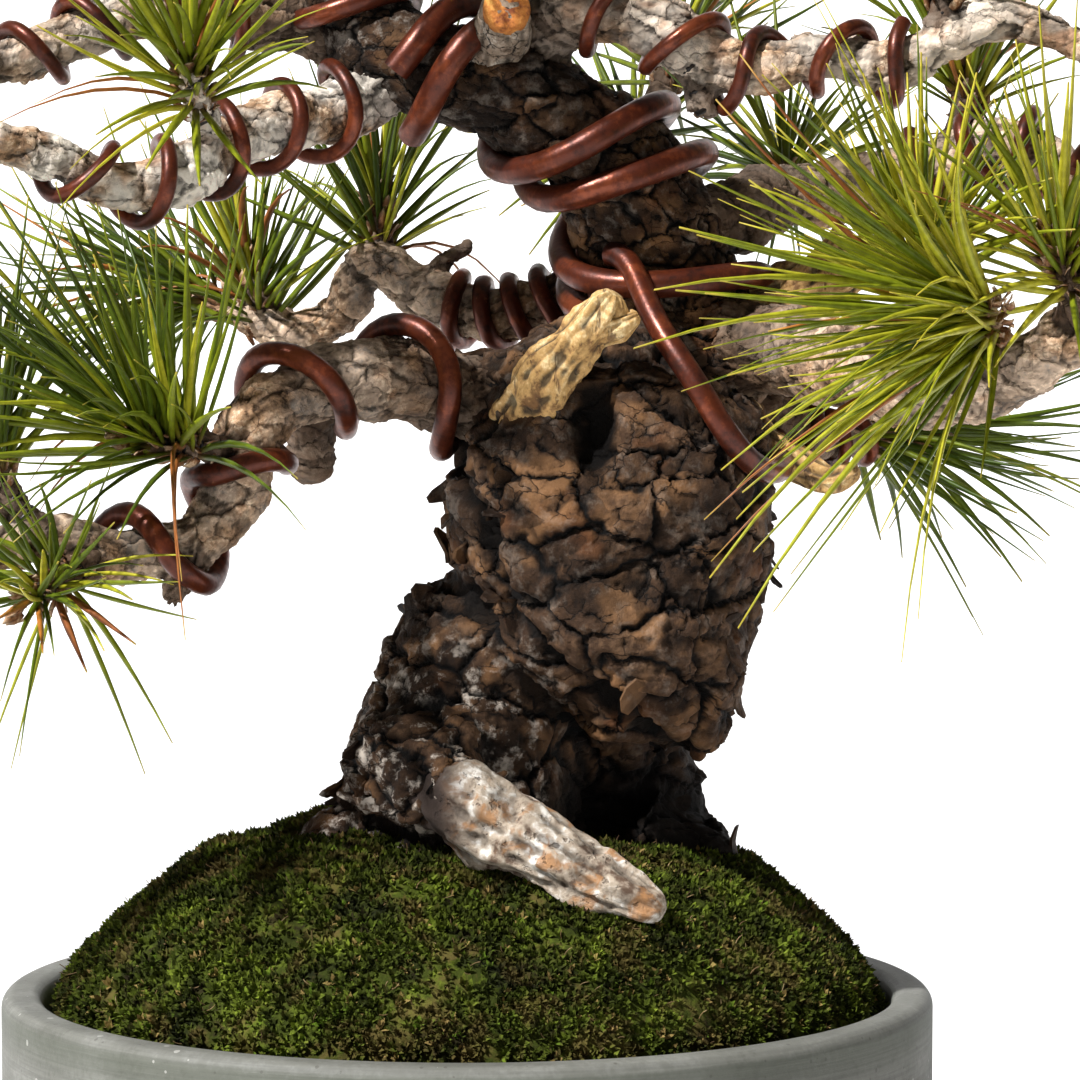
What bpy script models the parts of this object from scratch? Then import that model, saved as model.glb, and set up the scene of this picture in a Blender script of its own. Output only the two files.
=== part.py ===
"""A trained pine in a round stoneware pot. Metres, +Z up; the origin is the centre of the pot's underside."""

import math

import bmesh
import bpy
from mathutils import Vector
from mathutils.bvhtree import BVHTree

for old in list(bpy.data.objects):
    bpy.data.objects.remove(old, do_unlink=True)

MM = 0.001

# Pot
pot_radius = 100 * MM
pot_height = 75 * MM
pot_wall = 9 * MM
pot_floor = 9 * MM
lip_round = 3 * MM
foot_round = 4 * MM
pot_segments = 56

# Drainage
drain_holes = 3
drain_radius = 7 * MM
drain_circle = 46 * MM
drain_start = 91.3
channel_width = 10 * MM
channel_depth = 3 * MM
screen_cells = 5
screen_cell = 3.6 * MM
screen_bar = 1.4 * MM
screen_thickness = 1.2 * MM
clip_wire = 0.8 * MM

# Growing medium
grit_depth = 14 * MM
moss_rise = 37 * MM
moss_thickness = 7 * MM
moss_clearance = 1.5 * MM
moss_power = 2.8
moss_rings = 6
layer_segments = 32

# Tree
tree_scale = 1.0
needle_length = 44 * MM
bud_radius = 3.6 * MM
thick_wire = 3.0 * MM
medium_wire = 2.3 * MM
thin_wire = 1.6 * MM

wire_sides = 5
wire_points_per_turn = 10

fit_gap = 0.35 * MM
wire_gap = 0.8 * MM
wood_gap = 0.5 * MM
earth_gap = 0.9 * MM

# Routes along the wood: x, y, height above the pot's lip and radius, in millimetres.
trunk_routes = {
    "lower_bulge": [(-5, 2, 18, 33), (-8, 0, 40, 28), (-7, 0, 55, 25), (0, 4, 71, 26), (9, 6, 86, 27)],
    "core": [(28, 14, 15, 33), (26, 14, 38, 26), (27, 12, 50, 22), (26, 8, 66, 29), (26, 0, 84, 30)],
    "upper_bulge": [(36, -8, 68, 24), (33, -10, 83, 33), (31, -8, 98, 34), (28, -3, 115, 35), (26, 0, 124, 32)],
    "left_shoulder": [(20, 0, 122, 24), (9, -2, 127, 17), (0, -5, 128, 12)],
    "right_shoulder": [(30, 0, 125, 26), (40, 3, 131, 25), (48, 6, 138, 21)],
    "dead_stub": [(16, -20, 128, 10), (19, -29, 135, 7), (24, -32, 143, 5.5), (29, -33, 152, 4.5)],
    "hooked_stub": [(55, -2, 118, 9), (66, -4, 115, 4.5), (72, -6, 111, 4), (78, -8, 112, 3)],
    "bare_root": [(-6, -22, 48, 15), (-3, -36, 44, 15), (8, -45, 40, 12), (20, -52, 34, 10), (32, -57, 29, 8),
                  (40, -60, 24, 5)],
    "root_left": [(-12, 0, 38, 18), (-26, -5, 36, 11), (-36, -8, 28, 8), (-48, -10, 14, 6)],
    "root_back": [(10, 20, 30, 20), (8, 40, 22, 12), (6, 56, 6, 7)],
    "root_right": [(40, 10, 28, 20), (54, 6, 24, 11), (64, 2, 10, 7)],
    "root_front": [(10, -15, 26, 18), (-14, -34, 14, 10), (-28, -48, 0, 6)],
}
leader_routes = {
    "leader": [(48, 6, 138, 20), (47, 6, 153, 16), (41, 2, 169, 15), (32, -2, 179, 14), (20, -5, 187, 12.5),
               (7, -6, 194, 12.5), (-8, -2, 197, 12), (-20, 2, 203, 11), (-26, 4, 215, 10), (-25, 3, 231, 9),
               (-17, 0, 245, 7.5), (-10, 0, 260, 5.5), (-9, -2, 276, 3.2)],
    "sawn_stub": [(8, -6, 193, 8), (8, -17, 202, 7.6), (9, -22, 206, 7.4)],
    "apex_left": [(-17, 0, 244, 3.4), (-28, 3, 250, 2.6), (-36, 5, 256, 2)],
    "apex_right": [(-11, 0, 258, 3.2), (2, -4, 262, 2.6), (12, -8, 266, 2)],
    "apex_back": [(-24, 3, 232, 4), (-24, 18, 238, 3), (-22, 32, 246, 2.2)],
    "apex_front": [(-22, 2, 236, 4), (-18, -16, 240, 3), (-15, -28, 246, 2.2)],
}
branch_routes = {
    "lower_left": {
        "limb": [(14, -4, 126, 10), (3, -7, 128, 9.5), (-5, -9, 129, 9), (-15, -14, 132, 8.5), (-29, -20, 132, 8),
                 (-38, -24, 128, 7.5), (-46, -28, 119, 7.5), (-48, -30, 109, 7), (-55, -32, 100, 6.5),
                 (-66, -34, 97, 6), (-76, -38, 97, 5.5), (-86, -40, 100, 5), (-97, -43, 98, 4.5),
                 (-112, -46, 95, 4), (-126, -48, 98, 2.6)],
        "twig_up": [(-47, -29, 116, 5), (-54, -38, 119, 3.4), (-64, -47, 121, 2.6)],
        "twig_low": [(-76, -38, 97, 4.5), (-82, -48, 93, 3), (-86, -55, 90, 2.4)],
        "twig_edge": [(-88, -40, 100, 4), (-96, -40, 112, 3), (-100, -40, 123, 2.2)],
        "cut_stub": [(-55, -32, 100, 6), (-59, -42, 101, 5.2)],
    },
    "top_left": {
        "limb": [(-18, 1, 200, 8), (-21, -3, 192, 7.5), (-28, -8, 188, 7), (-35, -15, 186, 6.5), (-49, -30, 182, 6),
                 (-59, -40, 175, 6), (-71, -45, 173, 5.5), (-82, -50, 178, 5), (-95, -55, 182, 4.4)],
        "twig_up": [(-52, -33, 181, 4), (-54, -47, 189, 3), (-55, -58, 196, 2.4)],
        "twig_end": [(-94, -55, 181, 4.2), (-110, -60, 179, 3.4), (-124, -62, 182, 2.4)],
    },
    "corner_left": {
        "limb": [(-20, 2, 202, 9), (-29, 4, 205, 8), (-46, 0, 208, 7), (-64, -10, 210, 6), (-81, -16, 204, 5.5),
                 (-97, -22, 198, 5), (-114, -28, 200, 4), (-127, -30, 206, 2.6)],
        "twig_up": [(-80, -16, 204, 4), (-84, -10, 216, 3), (-86, -8, 226, 2.2)],
    },
    "middle_back": {
        "limb": [(44, 12, 146, 9), (38, 24, 149, 8), (27, 32, 149, 7), (16, 36, 145, 6.5), (2, 40, 143, 6),
                 (-11, 44, 148, 6), (-22, 48, 154, 5.5), (-28, 52, 143, 5.5), (-38, 56, 138, 5), (-52, 60, 143, 4),
                 (-67, 66, 147, 2.6)],
        "twig_up": [(-21, 48, 153, 4.5), (-20, 50, 160, 3), (-20, 50, 166, 2.4)],
        "twig_left": [(-40, 57, 138, 4), (-47, 58, 144, 3), (-49, 58, 150, 2.4)],
    },
    "right": {
        "limb": [(44, 4, 134, 15), (62, -4, 138, 11), (75, -16, 136, 10), (86, -30, 133, 9), (98, -42, 131, 8),
                 (112, -54, 135, 7), (127, -62, 145, 6), (143, -66, 147, 4.5), (156, -66, 152, 2.8)],
        "torn_stub": [(72, -12, 138, 8), (80, -14, 152, 6), (82, -14, 162, 3.5)],
        "twig_front": [(97, -42, 132, 5), (103, -66, 140, 3.4), (105, -86, 148, 2.6)],
        "twig_up": [(124, -61, 143, 5), (122, -70, 154, 3.2), (119, -76, 160, 2.4)],
        "twig_inner": [(86, -31, 134, 5), (92, -48, 148, 3.2), (93, -62, 158, 2.4)],
    },
    "lower_right": {
        "limb": [(50, 2, 122, 8), (68, 8, 122, 5), (77, 14, 117, 4.5), (86, 22, 117, 3.8), (95, 27, 117, 2.6)],
    },
    "far_right": {
        "limb": [(45, 4, 163, 9), (56, 12, 165, 8.5), (65, 22, 169, 7.5), (83, 30, 171, 6.5), (104, 20, 177, 6.2),
                 (119, 10, 180, 6), (133, 0, 172, 5), (148, -6, 170, 2.8)],
        "twig_up": [(104, 20, 178, 4), (108, 24, 190, 3), (108, 26, 199, 2.2)],
        "twig_back": [(68, 26, 170, 4), (70, 44, 172, 3), (70, 57, 174, 2.2)],
    },
    "top_right": {
        "limb": [(14, -4, 191, 8), (16, -7, 203, 7.5), (21, -13, 209, 7.2), (29, -16, 209, 7), (41, -20, 205, 6.5),
                 (57, -23, 196, 6), (74, -27, 200, 5.5), (86, -30, 197, 5.2), (98, -34, 202, 5), (112, -36, 207, 4.6),
                 (129, -40, 201, 3.8), (143, -42, 204, 2.6)],
        "twig_down": [(41, -20, 204, 4), (48, -22, 196, 3.6), (50, -22, 188, 3.4)],
        "twig_up": [(98, -34, 203, 4), (99, -34, 214, 3), (100, -34, 223, 2.2)],
    },
    "back": {
        "limb": [(24, -5, 185, 7), (23, 16, 187, 6.6), (28, 42, 185, 6.4), (39, 70, 184, 5.5), (36, 98, 180, 3.4)],
        "twig_up": [(39, 66, 184, 4), (44, 76, 194, 3), (46, 84, 201, 2.2)],
        "twig_left": [(34, 50, 184, 4), (22, 64, 186, 3), (12, 74, 190, 2.2)],
    },
}
# Each tuft sits on the end of one twig: node, route, direction it fans towards, share of the needle length.
tufts = {
    "tuft_apex": ("leader", "leader", (0, 0, 1), 1.0),
    "tuft_apex_left": ("leader", "apex_left", (-0.7, 0.1, 0.6), 0.9),
    "tuft_apex_right": ("leader", "apex_right", (0.7, -0.2, 0.6), 0.9),
    "tuft_apex_back": ("leader", "apex_back", (0, 0.8, 0.6), 0.9),
    "tuft_apex_front": ("leader", "apex_front", (0, -0.8, 0.6), 0.9),
    "tuft_lower_left_up": ("lower_left", "twig_up", (0.05, -0.15, 1), 1.15),
    "tuft_lower_left_low": ("lower_left", "twig_low", (0.2, -0.5, 0.8), 0.95),
    "tuft_lower_left_edge": ("lower_left", "twig_edge", (-0.2, 0, 1), 1.1),
    "tuft_lower_left_end": ("lower_left", "limb", (-0.9, -0.1, 0.4), 1.0),
    "tuft_top_left_up": ("top_left", "twig_up", (0, -0.5, 0.8), 1.0),
    "tuft_top_left_end": ("top_left", "twig_end", (-0.9, -0.1, 0.3), 0.9),
    "tuft_corner_left_up": ("corner_left", "twig_up", (0, 0, 1), 1.0),
    "tuft_corner_left_end": ("corner_left", "limb", (-0.8, 0, 0.5), 0.9),
    "tuft_middle_back_up": ("middle_back", "twig_up", (0.1, 0.2, 1), 1.0),
    "tuft_middle_back_left": ("middle_back", "twig_left", (0.1, 0.2, 0.9), 1.0),
    "tuft_middle_back_end": ("middle_back", "limb", (-0.8, 0.4, 0.3), 1.0),
    "tuft_right_front": ("right", "twig_front", (-0.45, -0.5, 0.3), 1.1),
    "tuft_right_up": ("right", "twig_up", (0.1, -0.3, 0.9), 1.0),
    "tuft_right_inner": ("right", "twig_inner", (-0.2, -0.3, 1), 1.0),
    "tuft_right_end": ("right", "limb", (0.9, -0.2, 0.3), 0.9),
    "tuft_lower_right": ("lower_right", "limb", (0.8, 0.1, -0.15), 1.0),
    "tuft_far_right_up": ("far_right", "twig_up", (0.1, 0.2, 1), 1.0),
    "tuft_far_right_back": ("far_right", "twig_back", (0.1, 0.5, 0.9), 1.0),
    "tuft_far_right_end": ("far_right", "limb", (0.9, 0, 0.4), 0.9),
    "tuft_top_right_up": ("top_right", "twig_up", (0, 0, 1), 0.9),
    "tuft_top_right_end": ("top_right", "limb", (0.9, -0.1, 0.3), 0.9),
    "tuft_back_up": ("back", "twig_up", (0.2, 0.4, 0.9), 1.0),
    "tuft_back_end": ("back", "limb", (-0.1, 1, 0.2), 1.0),
}


def material(name, colour, roughness, metallic=0.0):
    made = bpy.data.materials.new(name)
    made.use_nodes = True
    shader = made.node_tree.nodes["Principled BSDF"]
    shader.inputs["Base Color"].default_value = (*colour, 1)
    shader.inputs["Roughness"].default_value = roughness
    shader.inputs["Metallic"].default_value = metallic
    return made


def add_object(name, mesh, surface):
    mesh.materials.clear()
    mesh.materials.append(surface)
    made = bpy.data.objects.new(name, mesh)
    bpy.context.scene.collection.objects.link(made)
    return made


def mesh_of(name, bm):
    bmesh.ops.recalc_face_normals(bm, faces=bm.faces[:])
    mesh = bpy.data.meshes.new(name)
    bm.to_mesh(mesh)
    bm.free()
    return mesh


def smooth_round(obj, angle=40):
    obj.data.shade_smooth()
    obj.data.set_sharp_from_angle(angle=math.radians(angle))


def as_cutter(obj):
    obj.hide_render = True
    obj.display_type = "WIRE"
    return obj


def cut(obj, cutter):
    boolean = obj.modifiers.new("cut by " + cutter.name, "BOOLEAN")
    boolean.operation = "DIFFERENCE"
    boolean.solver = "EXACT"
    boolean.object = cutter


def evaluated_mesh(obj):
    graph = bpy.context.evaluated_depsgraph_get()
    return bpy.data.meshes.new_from_object(obj.evaluated_get(graph), depsgraph=graph)


def turned(profile, segments):
    """A profile of (radius, height) points turned about Z, starting and ending on the axis."""
    bm = bmesh.new()
    rings = []
    for radius, height in profile:
        if radius == 0:
            rings.append([bm.verts.new((0, 0, height))])
            continue
        ring = [2 * math.pi * k / segments for k in range(segments)]
        rings.append([bm.verts.new((radius * math.cos(a), radius * math.sin(a), height)) for a in ring])
    for low, high in zip(rings, rings[1:]):
        for k in range(segments):
            corners = [low[k % len(low)], low[(k + 1) % len(low)], high[(k + 1) % len(high)], high[k % len(high)]]
            bm.faces.new(list(dict.fromkeys(corners)))
    return bm


def arc(centre, radius, start, end, steps):
    turns = [math.radians(start + (end - start) * k / steps) for k in range(steps + 1)]
    return [(centre[0] + radius * math.cos(a), centre[1] + radius * math.sin(a)) for a in turns]


def box_mesh(name, low, high):
    bm = bmesh.new()
    bmesh.ops.create_cube(bm, size=1)
    for vert in bm.verts:
        vert.co = Vector(low[k] if vert.co[k] < 0 else high[k] for k in range(3))
    return mesh_of(name, bm)


def route(points, step):
    """Points and radii, in metres, about a step apart on a smooth curve through a list of millimetre points."""
    knots = [(Vector((x, y, z)) * MM * tree_scale, r * MM * tree_scale) for x, y, z, r in points]
    knots = [(knot + Vector((0, 0, pot_height)), r) for knot, r in knots]
    knots = [(2 * knots[0][0] - knots[1][0], knots[0][1])] + knots + [(2 * knots[-1][0] - knots[-2][0], knots[-1][1])]
    found = []
    for (a, _), (b, rb), (c, rc), (d, _) in zip(knots, knots[1:], knots[2:], knots[3:]):
        count = max(1, round((c - b).length / step))
        for k in range(count):
            t = k / count
            place = 0.5 * (2 * b + (c - a) * t + (2 * a - 5 * b + 4 * c - d) * t * t + (3 * b - a - 3 * c + d) * t**3)
            found.append((place, rb + (rc - rb) * t))
    return found + [knots[-2]]


def frames(places, pull=0.0):
    """For each place: the way along, the way to the front and the way across both. Pull turns the front to -Y."""
    found = []
    front = Vector((0, -1, 0))
    for k in range(len(places)):
        along = (places[min(k + 1, len(places) - 1)] - places[max(k - 1, 0)]).normalized()
        front = front * (1 - pull) + Vector((0, -1, 0)) * pull
        front = front - along * front.dot(along)
        if front.length < 0.01:
            front = along.orthogonal()
        front.normalize()
        found.append((along, front, along.cross(front)))
    return found


def add_tube(bm, path, sides, rounded=False):
    """A closed tube along (place, radius) pairs. Rounded ends draw in over their last radius."""
    ends = frames([place for place, _ in path])
    if rounded:
        first, last = path[0], path[-1]
        path = [(first[0] - ends[0][0] * first[1] * 0.5, first[1] * 0.6)] + path
        path = path + [(last[0] + ends[-1][0] * last[1] * 0.5, last[1] * 0.6)]
        ends = [ends[0]] + ends + [ends[-1]]
    rings = []
    for (place, radius), (_, front, across) in zip(path, ends):
        turns = [2 * math.pi * k / sides for k in range(sides)]
        rings.append([bm.verts.new(place + radius * (front * math.cos(a) + across * math.sin(a))) for a in turns])
    for low, high in zip(rings, rings[1:]):
        for k in range(sides):
            bm.faces.new((low[k], low[(k + 1) % sides], high[(k + 1) % sides], high[k]))
    bm.faces.new(rings[0])
    bm.faces.new(rings[-1])


def fused_wood(name, routes, voxel, triangles, surface):
    """The tubes along the routes grown together into one body."""
    bm = bmesh.new()
    for points in routes.values():
        add_tube(bm, route(points, 4 * MM), 14, rounded=True)
    wood = add_object(name, mesh_of(name, bm), surface)
    remesh = wood.modifiers.new("grow together", "REMESH")
    remesh.mode = "VOXEL"
    remesh.voxel_size = voxel
    smooth = wood.modifiers.new("soften", "SMOOTH")
    smooth.factor = 0.5
    smooth.iterations = 3
    fine = evaluated_mesh(wood)
    thin = wood.modifiers.new("fewer faces", "DECIMATE")
    thin.ratio = triangles / (2 * len(fine.polygons))
    plain = evaluated_mesh(wood)
    wood.modifiers.clear()
    wood.data = plain
    plain.name = name
    smooth_round(wood, 60)
    return wood


def swollen(obj, gap):
    """A cutter that stands a gap proud of the object all round."""
    cutter = as_cutter(add_object(obj.name + "_cutter", obj.data.copy(), obj.data.materials[0]))
    grow = cutter.modifiers.new("gap", "DISPLACE")
    grow.mid_level = 0
    grow.strength = gap
    return cutter


def mound(distance, edge, rise):
    """Height of the growing surface above the pot's lip at a distance from the middle."""
    return rise * (1 - min(distance / edge, 1) ** moss_power)


def layer(name, radii, top, bottom, surface):
    """A round layer between two surfaces, each given as height by x and y, with a ring of points at each radius."""
    bm = bmesh.new()
    sheets = []
    for height in (top, bottom):
        sheet = [[bm.verts.new((0, 0, height(0, 0)))]]
        for radius in radii:
            turns = [2 * math.pi * k / layer_segments for k in range(layer_segments)]
            places = [(radius * math.cos(a), radius * math.sin(a)) for a in turns]
            sheet.append([bm.verts.new((x, y, height(x, y))) for x, y in places])
        for low, high in zip(sheet, sheet[1:]):
            for k in range(layer_segments):
                near, far = low[k % len(low)], low[(k + 1) % len(low)]
                bm.faces.new((near, high[(k + 1) % layer_segments], high[k]))
                if near is not far:
                    bm.faces.new((near, far, high[(k + 1) % layer_segments]))
        sheets.append(sheet[-1])
    for k in range(layer_segments):
        following = (k + 1) % layer_segments
        bm.faces.new((sheets[0][k], sheets[0][following], sheets[1][following], sheets[1][k]))
    return add_object(name, mesh_of(name, bm), surface)


stoneware = material("stoneware", (0.19, 0.19, 0.17), 0.75)
plastic = material("screen plastic", (0.03, 0.03, 0.03), 0.6)
steel = material("clip wire", (0.5, 0.5, 0.48), 0.4, 1.0)
grit_stone = material("grit", (0.35, 0.3, 0.24), 0.9)
earth = material("soil", (0.09, 0.06, 0.04), 0.95)
moss_green = material("moss", (0.04, 0.07, 0.01), 0.95)
bark = material("bark", (0.13, 0.08, 0.05), 0.9)
young_bark = material("young bark", (0.3, 0.23, 0.17), 0.85)
anodised = material("anodised wire", (0.12, 0.03, 0.015), 0.35, 0.8)
needle_green = material("needles", (0.09, 0.17, 0.03), 0.5)


# Pot: one turned wall and floor, with drain holes that let out into shallow channels.
inner_radius = pot_radius - pot_wall
pot_profile = [(0, 0)]
pot_profile += arc((pot_radius - foot_round, foot_round), foot_round, -90, 0, 3)
pot_profile += arc((pot_radius - lip_round, pot_height - lip_round), lip_round, 0, 90, 4)
pot_profile += arc((inner_radius + lip_round, pot_height - lip_round), lip_round, 90, 180, 4)
pot_profile += arc((inner_radius - foot_round, pot_floor + foot_round), foot_round, 0, -90, 3)
pot_profile += [(0, pot_floor)]
pot = add_object("pot", mesh_of("pot", turned(pot_profile, pot_segments)), stoneware)
smooth_round(pot)

screen_side = screen_cells * (screen_cell + screen_bar) + screen_bar
screen_base = pot_floor + fit_gap
leg_place = screen_cell + screen_bar
clip_reach = leg_place + drain_radius
drain_turns = [math.radians(drain_start + 360 * k / drain_holes) for k in range(drain_holes)]
pockets = []
for number, turn in enumerate(drain_turns, 1):
    middle = Vector((drain_circle * math.cos(turn), drain_circle * math.sin(turn), 0))
    hole_profile = [(0, -pot_floor), (drain_radius, -pot_floor), (drain_radius, 2 * pot_floor), (0, 2 * pot_floor)]
    hole = as_cutter(add_object(f"drain_hole_{number}", mesh_of("hole", turned(hole_profile, 24)), stoneware))
    hole.location = middle
    cut(pot, hole)
    channel_mesh = box_mesh("channel", (-clip_reach - 2 * clip_wire, -channel_width / 2, -channel_depth),
                            (2 * pot_radius, channel_width / 2, channel_depth))
    channel = as_cutter(add_object(f"channel_{number}", channel_mesh, stoneware))
    channel.location = middle
    channel.rotation_euler.z = turn
    cut(pot, channel)

    # Screen: a square plate with a grid of square holes.
    bm = bmesh.new()
    lines = [0]
    for _ in range(screen_cells):
        lines += [lines[-1] + screen_bar, lines[-1] + screen_bar + screen_cell]
    lines.append(lines[-1] + screen_bar)
    lines = [line - screen_side / 2 for line in lines]
    grid = [[bm.verts.new((x, y, 0)) for y in lines] for x in lines]
    for i in range(len(lines) - 1):
        for j in range(len(lines) - 1):
            if i % 2 and j % 2:
                continue
            bm.faces.new((grid[i][j], grid[i + 1][j], grid[i + 1][j + 1], grid[i][j + 1]))
    raised = bmesh.ops.extrude_face_region(bm, geom=bm.faces[:])["geom"]
    bmesh.ops.translate(bm, verts=[v for v in raised if isinstance(v, bmesh.types.BMVert)],
                        vec=(0, 0, screen_thickness))
    screen = add_object(f"drain_screen_{number}", mesh_of("screen", bm), plastic)
    screen.location = middle + Vector((0, 0, screen_base))
    screen.rotation_euler.z = turn

    # Clip: a wire staple over the screen, its legs through two cells and its feet bent under the floor.
    top = screen_base + screen_thickness + fit_gap + clip_wire
    foot = channel_depth - fit_gap - clip_wire
    half = [Vector((leg_place, 0, top)), Vector((leg_place, 0, foot)), Vector((clip_reach, 0, foot))]
    other = [Vector((-v.x, v.y, v.z)) for v in half]
    bm = bmesh.new()
    add_tube(bm, [(v, clip_wire) for v in other[::-1] + half], 6)
    clip = add_object(f"screen_clip_{number}", mesh_of("clip", bm), steel)
    clip.location = middle
    clip.rotation_euler.z = turn

    pocket_half = screen_side / 2 + fit_gap
    pocket_mesh = box_mesh("pocket", (-pocket_half, -pocket_half, -pot_floor),
                           (pocket_half, pocket_half, top + clip_wire + fit_gap))
    pocket = as_cutter(add_object(f"screen_pocket_{number}", pocket_mesh, grit_stone))
    pocket.location = middle
    pocket.rotation_euler.z = turn
    pockets.append(pocket)

# Grit, soil and moss, each resting on the one below.
grit_top = pot_floor + grit_depth
fill_radius = inner_radius - fit_gap
moss_radius = inner_radius - moss_clearance


def moss_top(x, y):
    swell = 0.9 * math.sin(x * 90 + 1) * math.sin(y * 75 + 2) + 0.6 * math.sin(x * 190 + y * 140)
    return pot_height - 2 * MM + mound(math.hypot(x, y), moss_radius, moss_rise) + swell * MM


def soil_top(x, y):
    return moss_top(x, y) - moss_thickness - fit_gap


def moss_bottom(x, y):
    return moss_top(x, y) - moss_thickness


def rounded_floor(x, y):
    edge = max(0.0, math.hypot(x, y) - grit_edge)
    return pot_floor + fit_gap + foot_round - math.sqrt(max(foot_round**2 - edge**2, 0))


grit_edge = inner_radius - foot_round - 3 * fit_gap
grit_radii = [grit_edge, (grit_edge + fill_radius) / 2, fill_radius]
moss_radii = [moss_radius * k / moss_rings for k in range(1, moss_rings + 1)]
grit = layer("drainage_grit", grit_radii, lambda x, y: grit_top, rounded_floor, grit_stone)
for pocket in pockets:
    cut(grit, pocket)
soil = layer("soil", moss_radii + [fill_radius], soil_top, lambda x, y: grit_top + fit_gap, earth)
moss = layer("moss", moss_radii, moss_top, moss_bottom, moss_green)

# Wood: the trunk with its roots, the leader, and the branches, each butted on what it grows from.
trunk = fused_wood("trunk", trunk_routes, 2.0 * MM, 1900, bark)
leader = fused_wood("leader", leader_routes, 1.3 * MM, 900, bark)
wood = {"trunk": trunk, "leader": leader}
cutters = {"trunk": swollen(trunk, wood_gap), "leader": swollen(leader, wood_gap)}
cut(leader, cutters["trunk"])
root_cutter = swollen(trunk, earth_gap)
cut(soil, root_cutter)
cut(moss, root_cutter)
for name, routes in branch_routes.items():
    count = 160 + 75 * len(routes)
    branch = fused_wood("branch_" + name, routes, 1.2 * MM, count, young_bark)
    cut(branch, cutters["trunk"])
    cut(branch, cutters["leader"])
    wood[name] = branch


# Wires: each is wound round one limb.
wood_reach = 13 * MM
wood_shapes = []
graph = bpy.context.evaluated_depsgraph_get()
for piece in wood.values():
    wood_shapes.append(BVHTree.FromObject(piece, graph))


def off_the_wood(place, clearance):
    """The place, moved out until it is at least the clearance from every piece of wood near it."""
    for _ in range(4):
        for shape in wood_shapes:
            near, normal, _, distance = shape.find_nearest(place, wood_reach)
            if near is None:
                continue
            depth = (near - place).dot(normal)
            if depth > distance / 2:
                place = near + normal * clearance
            elif distance < clearance:
                place = near + (place - near).normalized() * clearance
    return place


def winding(points, start, end, pitch, front, hand, wire):
    """Places of a wire wound round a route, from start to end along it, crossing its front face at front."""
    way = route(points, 2 * MM)
    places = [place for place, _ in way]
    around = frames(places, 0.3)
    travelled = [0.0]
    for near, far in zip(places, places[1:]):
        travelled.append(travelled[-1] + (far - near).length)
    found = []
    count = max(2, round((end - start) / pitch * wire_points_per_turn))
    for k in range(count + 1):
        along = (start + (end - start) * k / count) * MM * tree_scale
        turn = hand * 2 * math.pi * (along / (MM * tree_scale) - front) / pitch
        index = min(range(len(travelled)), key=lambda i: abs(travelled[i] - along))
        place, radius = way[index]
        _, ahead, across = around[index]
        out = ahead * math.cos(turn) + across * math.sin(turn)
        found.append(place + out * (radius + wire + wire_gap))
    return found


def eased(places, wire):
    """The places cleared from the wood and evened out, keeping the clearance."""
    clearance = wire / math.cos(math.pi / wire_sides) + wire_gap
    for _ in range(6):
        places = [off_the_wood(place, clearance) for place in places]
        middle = [(a + 2 * b + c) / 4 for a, b, c in zip(places, places[1:], places[2:])]
        places = [places[0]] + middle + [places[-1]]
    places = [off_the_wood(place, clearance) for place in places]
    spaced = places[:1]
    for place in places[1:]:
        if (place - spaced[-1]).length > wire * 0.8:
            spaced.append(place)
    return spaced


# Each wire: the limb it is wound on, where it starts and ends along it, its pitch and where it crosses the front
# of the limb, all in millimetres, its hand and its radius. The two thick ones lie a step apart.
upper_front = 62
pair_space = 7
pair_step = pair_space + 2 * thick_wire / MM / tree_scale
wires = {
    "leader_upper": (("leader", "leader"), 14, 97, 39, upper_front, -1, thick_wire),
    "leader_lower": (("leader", "leader"), 24, 92, 39, upper_front - pair_step, -1, thick_wire),
    "apex": (("leader", "leader"), 112, 132, 14, 116, -1, medium_wire),
    "lower_left": (("lower_left", "limb"), 14, 108, 26, 24, 1, medium_wire),
    "middle_back": (("middle_back", "limb"), 22, 60, 8.5, 30, 1, medium_wire),
    "top_left": (("top_left", "limb"), 14, 92, 19, 20, -1, thin_wire),
    "corner_left": (("corner_left", "limb"), 30, 100, 16, 34, 1, thin_wire),
    "top_right": (("top_right", "limb"), 26, 98, 19, 32, -1, thin_wire),
    "far_right": (("far_right", "limb"), 78, 104, 14, 82, 1, thin_wire),
    "lower_right": (("lower_right", "limb"), 20, 42, 9, 24, 1, thin_wire),
}
for name, ((group, key), start, end, pitch, front, hand, wire) in wires.items():
    points = (leader_routes if group == "leader" else branch_routes[group])[key]
    places = eased(winding(points, start, end, pitch, front, hand, wire), wire)
    bm = bmesh.new()
    add_tube(bm, [(place, wire) for place in places], wire_sides)
    smooth_round(add_object("wire_" + name, mesh_of(name, bm), anodised), 60)

# Needle tufts: a bud with spikes that fan out from it, each stopping short of whatever is in its way.
spike_widening = 1.3
shortest_spike = 8 * MM
graph = bpy.context.evaluated_depsgraph_get()
standing = [piece for piece in bpy.context.scene.objects if not piece.hide_render]
in_the_way = [BVHTree.FromObject(piece, graph) for piece in standing if not piece.matrix_world.translation.length]


def clear_length(corners, start, way, length):
    """The longest length, in even steps, at which a spike over three corners meets nothing."""
    middle = sum(corners, Vector()) / 3
    base = [middle + (corner - middle) * spike_widening for corner in corners]
    while length > shortest_spike:
        tip = start + way * length
        spike = BVHTree.FromPolygons(base + [tip], [(0, 1, 3), (1, 2, 3), (2, 0, 3)])
        if not any(spike.overlap(shape) for shape in in_the_way):
            return length - wire_gap
        length -= 4 * MM
    return 0


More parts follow.
